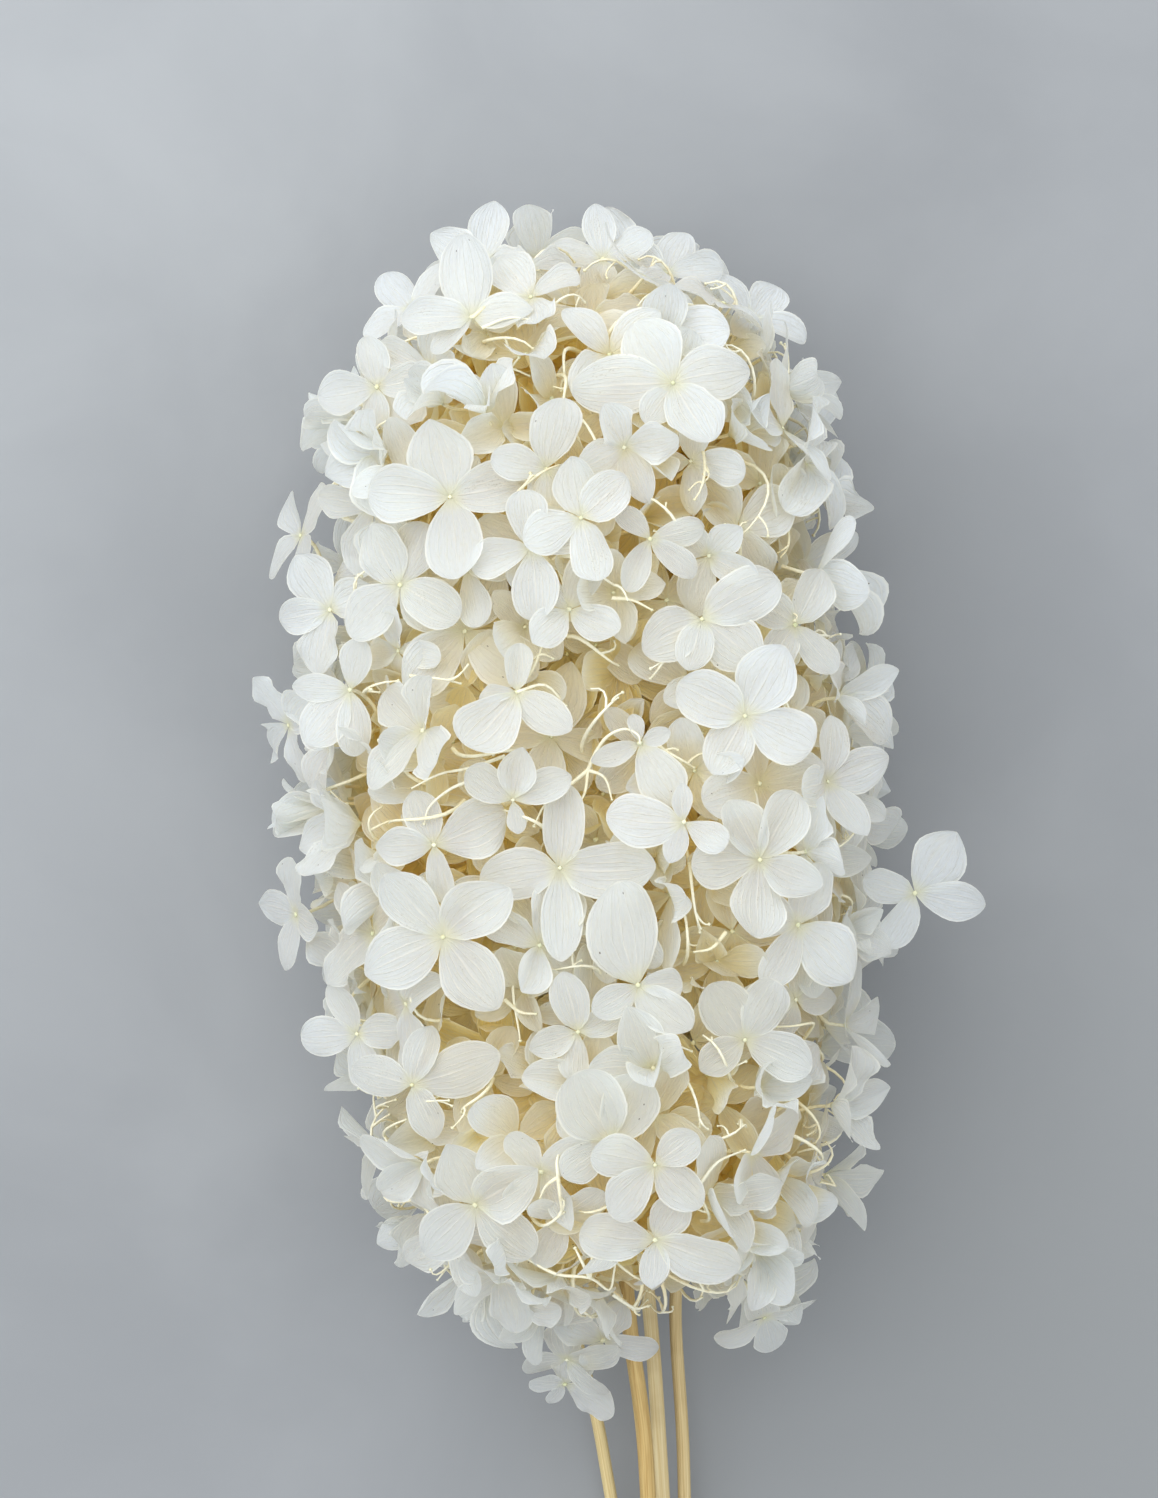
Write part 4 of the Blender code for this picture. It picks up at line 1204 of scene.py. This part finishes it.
def petal_material():
    g = Graph("preserved_petal")
    along, across = g.uv()[:2]
    own, depth, grey = g.tone()[:3]
    side = g.minus(g.times(across, 2.0), 1.0)
    off = g.math("ABSOLUTE", side)
    seed = g.times(own, 37.0)
    here = g.vector(along, side, seed)
    # Veins leave the claw together, run along the pleats and fork towards the rim.
    wobble = g.minus(g.noise(here, 3.0, 2.0), 0.5)
    fan = g.plus(side, g.times(wobble, 0.16))
    coarse = g.math("PINGPONG", g.times(fan, 3.5), 0.5)
    fine = g.math("PINGPONG", g.times(fan, 7.0), 0.5)
    vein = g.ramp(coarse, 0.01, 0.12, 1.0, 0.0)
    veinlet = g.times(g.ramp(fine, 0.0, 0.20, 1.0, 0.0), g.ramp(along, 0.2, 0.6))
    midrib = g.times(g.ramp(off, 0.01, 0.08, 1.0, 0.0), g.ramp(along, 0.3, 0.95, 1.0, 0.0))
    net = g.cells(along, side, own, 14.4, 9.6, feature="DISTANCE_TO_EDGE")
    net = g.ramp(net, 0.0, 0.11, 1.0, 0.0)
    ridges = g.plus(g.times(vein, 0.9), g.times(veinlet, 0.55))
    ridges = g.plus(ridges, g.times(midrib, 0.6))
    marked = g.math("FRACT", g.times(own, 7.31))
    strength = g.times(g.ramp(marked, 0.0, 1.0, 0.45, 1.1), g.ramp(along, 0.15, 1.0, 1.25, 0.6))
    lines = g.plus(ridges, g.times(net, 0.3))
    lines = g.times(lines, strength, clamp=True)
    ridges = g.times(ridges, strength, clamp=True)
    # Painted highlight: a petal's rim is brighter, as an edge that catches the light.
    rim = g.math("MAXIMUM", g.ramp(off, 0.91, 0.98), g.ramp(along, 0.965, 0.99))
    claw = g.ramp(along, 0.0, 0.22, 1.0, 0.0)
    blotch = g.noise(here, 2.2, 4.0, 0.6)
    mottle = g.noise(here, 13.0, 3.0, 0.3)

    white = g.mix(own, (0.785, 0.835, 0.905), (0.825, 0.865, 0.91))
    # Painted shade: petals turn grey towards the bunch's cut end, where the light falls off; thin florets are
    # greyer of their own.
    greyed_and_shaded = g.mix(g.times(grey, 0.85), white, (0.58, 0.60, 0.61))
    cream = g.mix(g.ramp(blotch, 0.5, 0.9, 0.0, 0.6), greyed_and_shaded, (0.86, 0.84, 0.74))
    # Painted glow and shade: petals turn golden deep in and cream where covered, partly their own tone.
    deep = g.mix(depth, cream, (0.99, 0.80, 0.33))
    dull = g.mix(g.ramp(mottle, 0.45, 0.75, 0.0, 0.55), deep, (0.66, 0.65, 0.60))
    vein_colour = g.mix(depth, (0.98, 0.98, 0.965), (0.99, 0.90, 0.62))
    veined = g.mix(g.times(lines, 0.85), dull, vein_colour)
    rim_highlighted = g.mix(g.times(rim, 0.85), veined, (0.985, 0.98, 0.93))
    clawed = g.mix(g.times(claw, 0.7), rim_highlighted, (0.86, 0.84, 0.56))
    spot = g.cells(along, side, own, 1.0, 0.65)
    speck = g.times(g.ramp(spot, 0.007, 0.016, 1.0, 0.0), g.ramp(own, 0.80, 0.82))
    # Some petals carry a cluster of small dark flecks.
    fleck = g.cells(along, side, own, 18.0, 8.0)
    cluster = g.times(g.ramp(blotch, 0.56, 0.64), g.ramp(marked, 0.70, 0.74))
    fleck = g.times(g.ramp(fleck, 0.12, 0.24, 1.0, 0.0), cluster)
    clawed = g.mix(g.times(fleck, 0.5), clawed, (0.34, 0.31, 0.30))
    colour = g.mix(g.times(speck, 0.8), clawed, (0.16, 0.12, 0.09))
    # The light through a petal turns golden with depth too, as painted glow.
    through = g.mix(depth, (0.975, 0.975, 0.91), (1.0, 0.88, 0.46))
    through = g.mix(g.times(lines, 0.4), through, (0.86, 0.81, 0.66))
    through = g.mix(speck, through, (0.12, 0.08, 0.06))

    streak_at = g.vector(g.times(along, 3.0), g.times(fan, 13.0), seed)
    rough = g.noise(streak_at, 1.0, 3.0)
    height = g.plus(g.times(ridges, 0.8), g.times(rough, 0.7))
    height = g.plus(height, g.times(wobble, 1.5))
    bump = g.node("Bump", {"Strength": 0.6, "Distance": 0.0004, "Height": height}).outputs[0]
    roughness = g.ramp(rough, 0.2, 0.8, 0.5, 0.72)
    g.surface(Base_Color=colour, Roughness=roughness, Normal=bump, Specular_IOR_Level=0.3)
    glow = g.node("BsdfTranslucent", {"Color": through, "Normal": bump})
    share = g.plus(0.47, g.times(grey, 0.10))
    share = g.plus(share, g.times(depth, 0.22), clamp=True)
    both = g.node("MixShader", {0: share, 1: g.shader.outputs[0], 2: glow.outputs[0]})
    g.feed(g.output.inputs["Surface"], both.outputs[0])
    return g.material


def stalk_material():
    g = Graph("dry_stalk")
    own, depth, kind = g.tone()[:3]
    place = g.node("TexCoord").outputs["Object"]
    grain = g.noise(place, 900.0, 3.0)
    straw = g.mix(own, (0.86, 0.83, 0.67), (0.82, 0.76, 0.54))
    # Painted glow: stalks turn golden deeper in the bunch, partly their own tone.
    deep = g.mix(depth, straw, (0.94, 0.74, 0.34))
    eye = g.mix(own, (0.70, 0.71, 0.50), (0.60, 0.61, 0.36))
    colour = g.mix(kind, deep, eye)
    colour = g.mix(g.times(kind, -1.0, clamp=True), colour, (0.17, 0.10, 0.05))
    colour = g.mix(g.ramp(grain, 0.45, 0.8, 0.0, 0.4), colour, (0.56, 0.42, 0.18))
    bump = g.node("Bump", {"Strength": 0.4, "Distance": 0.0002, "Height": grain}).outputs[0]
    rough = g.ramp(grain, 0.2, 0.8, 0.5, 0.75)
    g.surface(Base_Color=colour, Roughness=rough, Normal=bump, Specular_IOR_Level=0.3)
    return g.material


STRAWS = {
    "top": ((0.70, 0.58, 0.33), (0.56, 0.41, 0.18)),
    "left": ((0.68, 0.55, 0.28), (0.52, 0.38, 0.16)),
    "right": ((0.66, 0.52, 0.27), (0.46, 0.32, 0.13)),
    "front": ((0.62, 0.44, 0.17), (0.42, 0.25, 0.07)),
}


def straw_material(name):
    g = Graph("straw_" + name)
    along, turn = g.uv()[:2]
    cut = g.tone()[1]
    fibre_at = g.vector(g.times(along, 14.0), g.times(turn, 30.0), 0.0)
    fibre = g.noise(fibre_at, 1.0, 4.0, 0.3)
    place = g.node("TexCoord").outputs["Object"]
    patch = g.noise(place, 60.0, 3.0)
    light, dark = STRAWS[name]
    colour = g.mix(g.ramp(fibre, 0.3, 0.75), light, dark)
    colour = g.mix(g.ramp(patch, 0.55, 0.8, 0.0, 0.6), colour, (0.36, 0.24, 0.09))
    pith = g.mix(g.noise(place, 2500.0, 2.0), (0.78, 0.70, 0.50), (0.55, 0.45, 0.26))
    colour = g.mix(cut, colour, pith)
    bump = g.node("Bump", {"Strength": 0.5, "Distance": 0.0003, "Height": fibre}).outputs[0]
    g.surface(Base_Color=colour, Roughness=g.ramp(fibre, 0.2, 0.8, 0.42, 0.7), Normal=bump)
    return g.material


# The scene


def dress():
    """Makes the pieces of each head and its stem, and hides the parts they replace."""
    florets = place_florets()
    twigs = place_twigs(florets)
    petal, stalk = petal_material(), stalk_material()
    draw = random.Random(SEED + 1)
    tree = petals_tree([floret for name in HEADS for floret in florets[name]])
    for name in HEADS:
        maker = Maker()
        for floret in florets[name]:
            add_petals(maker, tree, floret)
        petals = maker.build("petals_" + name, petal)
        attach(petals, "root")
        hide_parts("flowers_" + name)
        maker = Maker()
        add_branches(maker, name, florets[name], draw)
        for path, forks in twigs[name]:
            add_bare_twig(maker, path, forks, draw)
        stalks = maker.build("stalks_" + name, stalk)
        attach(stalks, "root")
        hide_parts("flowers_" + name)
        maker = Maker()
        add_stem(maker, name)
        straw = maker.build("straw_" + name, straw_material(name))
        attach(straw, "root")
        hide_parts("stem_" + name)


FLOOR_SIDE = 12.0
FLOOR_LIGHT = ((0.308, 0.316, 0.327), (0.355, 0.363, 0.373))
# Painted shade: the floor's duller and darkest greys, towards the picture's lower right.
FLOOR_PAINTED_DIM = ((0.260, 0.267, 0.277), (0.300, 0.307, 0.317))
FLOOR_PAINTED_SHADE = (0.255, 0.262, 0.266)
WORLD = ((0.93, 0.975, 1.02, 1), 1.08)
# Name, place, size, power and colour.
LIGHTS = (
    ("key", (-0.45, 0.78, 1.12), 2.0, 17.0, (0.985, 1.0, 1.0)),
    ("fill", (-1.1, 0.1, 0.9), 1.2, 2.0, (0.88, 0.94, 1.0)),
)
LIGHTS_FROM = Vector((0, 0.09, 0))
LIT = Vector((0, 0.09, 0.04))


def floor():
    mesh = bpy.data.meshes.new("floor")
    corners = [(x * FLOOR_SIDE, y * FLOOR_SIDE, 0) for x, y in ((-1, -1), (1, -1), (1, 1), (-1, 1))]
    mesh.from_pydata(corners, [], [(0, 1, 2, 3)])
    obj = bpy.data.objects.new("floor", mesh)
    bpy.context.scene.collection.objects.link(obj)
    g = Graph("pale_floor")
    place = g.node("TexCoord").outputs["Object"]
    cloud = g.ramp(g.noise(place, 11.0, 5.0, 0.4), 0.3, 0.7)
    grey, dull = g.mix(cloud, *FLOOR_LIGHT), g.mix(cloud, *FLOOR_PAINTED_DIM)
    # Painted shade: the floor's colour is a little darker towards the picture's lower right, where the light
    # falls off.
    x, y = g.node("SeparateXYZ", {0: place}).outputs[:2]
    slope = g.minus(x, y)
    grey = g.mix(g.ramp(slope, -0.38, -0.14), grey, dull)
    grey = g.mix(g.ramp(slope, -0.02, 0.18), grey, FLOOR_PAINTED_SHADE)
    g.surface(Base_Color=grey, Roughness=0.85, Specular_IOR_Level=0.2)
    mesh.materials.append(g.material)


def studio():
    world = bpy.data.worlds.new("studio")
    world.use_nodes = True
    background = world.node_tree.nodes["Background"]
    background.inputs[0].default_value, background.inputs[1].default_value = WORLD
    bpy.context.scene.world = world
    for name, place, size, energy, colour in LIGHTS:
        light = bpy.data.lights.new(name, "AREA")
        light.shape = "DISK"
        light.size = size
        light.energy = energy
        light.color = colour
        obj = bpy.data.objects.new(name, light)
        obj.location = Vector(place) + LIGHTS_FROM
        obj.rotation_euler = (LIT - obj.location).to_track_quat("-Z", "Y").to_euler()
        bpy.context.scene.collection.objects.link(obj)


def camera():
    """Looks straight down, from where the photograph was taken."""
    data = bpy.data.cameras.new("camera")
    data.sensor_fit = "VERTICAL"
    data.sensor_height = 36.0
    data.lens = data.sensor_height * CAMERA_OVER / HEIGHT_SEEN
    obj = bpy.data.objects.new("camera", data)
    obj.location = CAMERA_AT + BUNCH_PLACE
    bpy.context.scene.collection.objects.link(obj)
    bpy.context.scene.camera = obj


dress()
floor()
studio()
camera()
bpy.context.scene.view_settings.view_transform = "Standard"
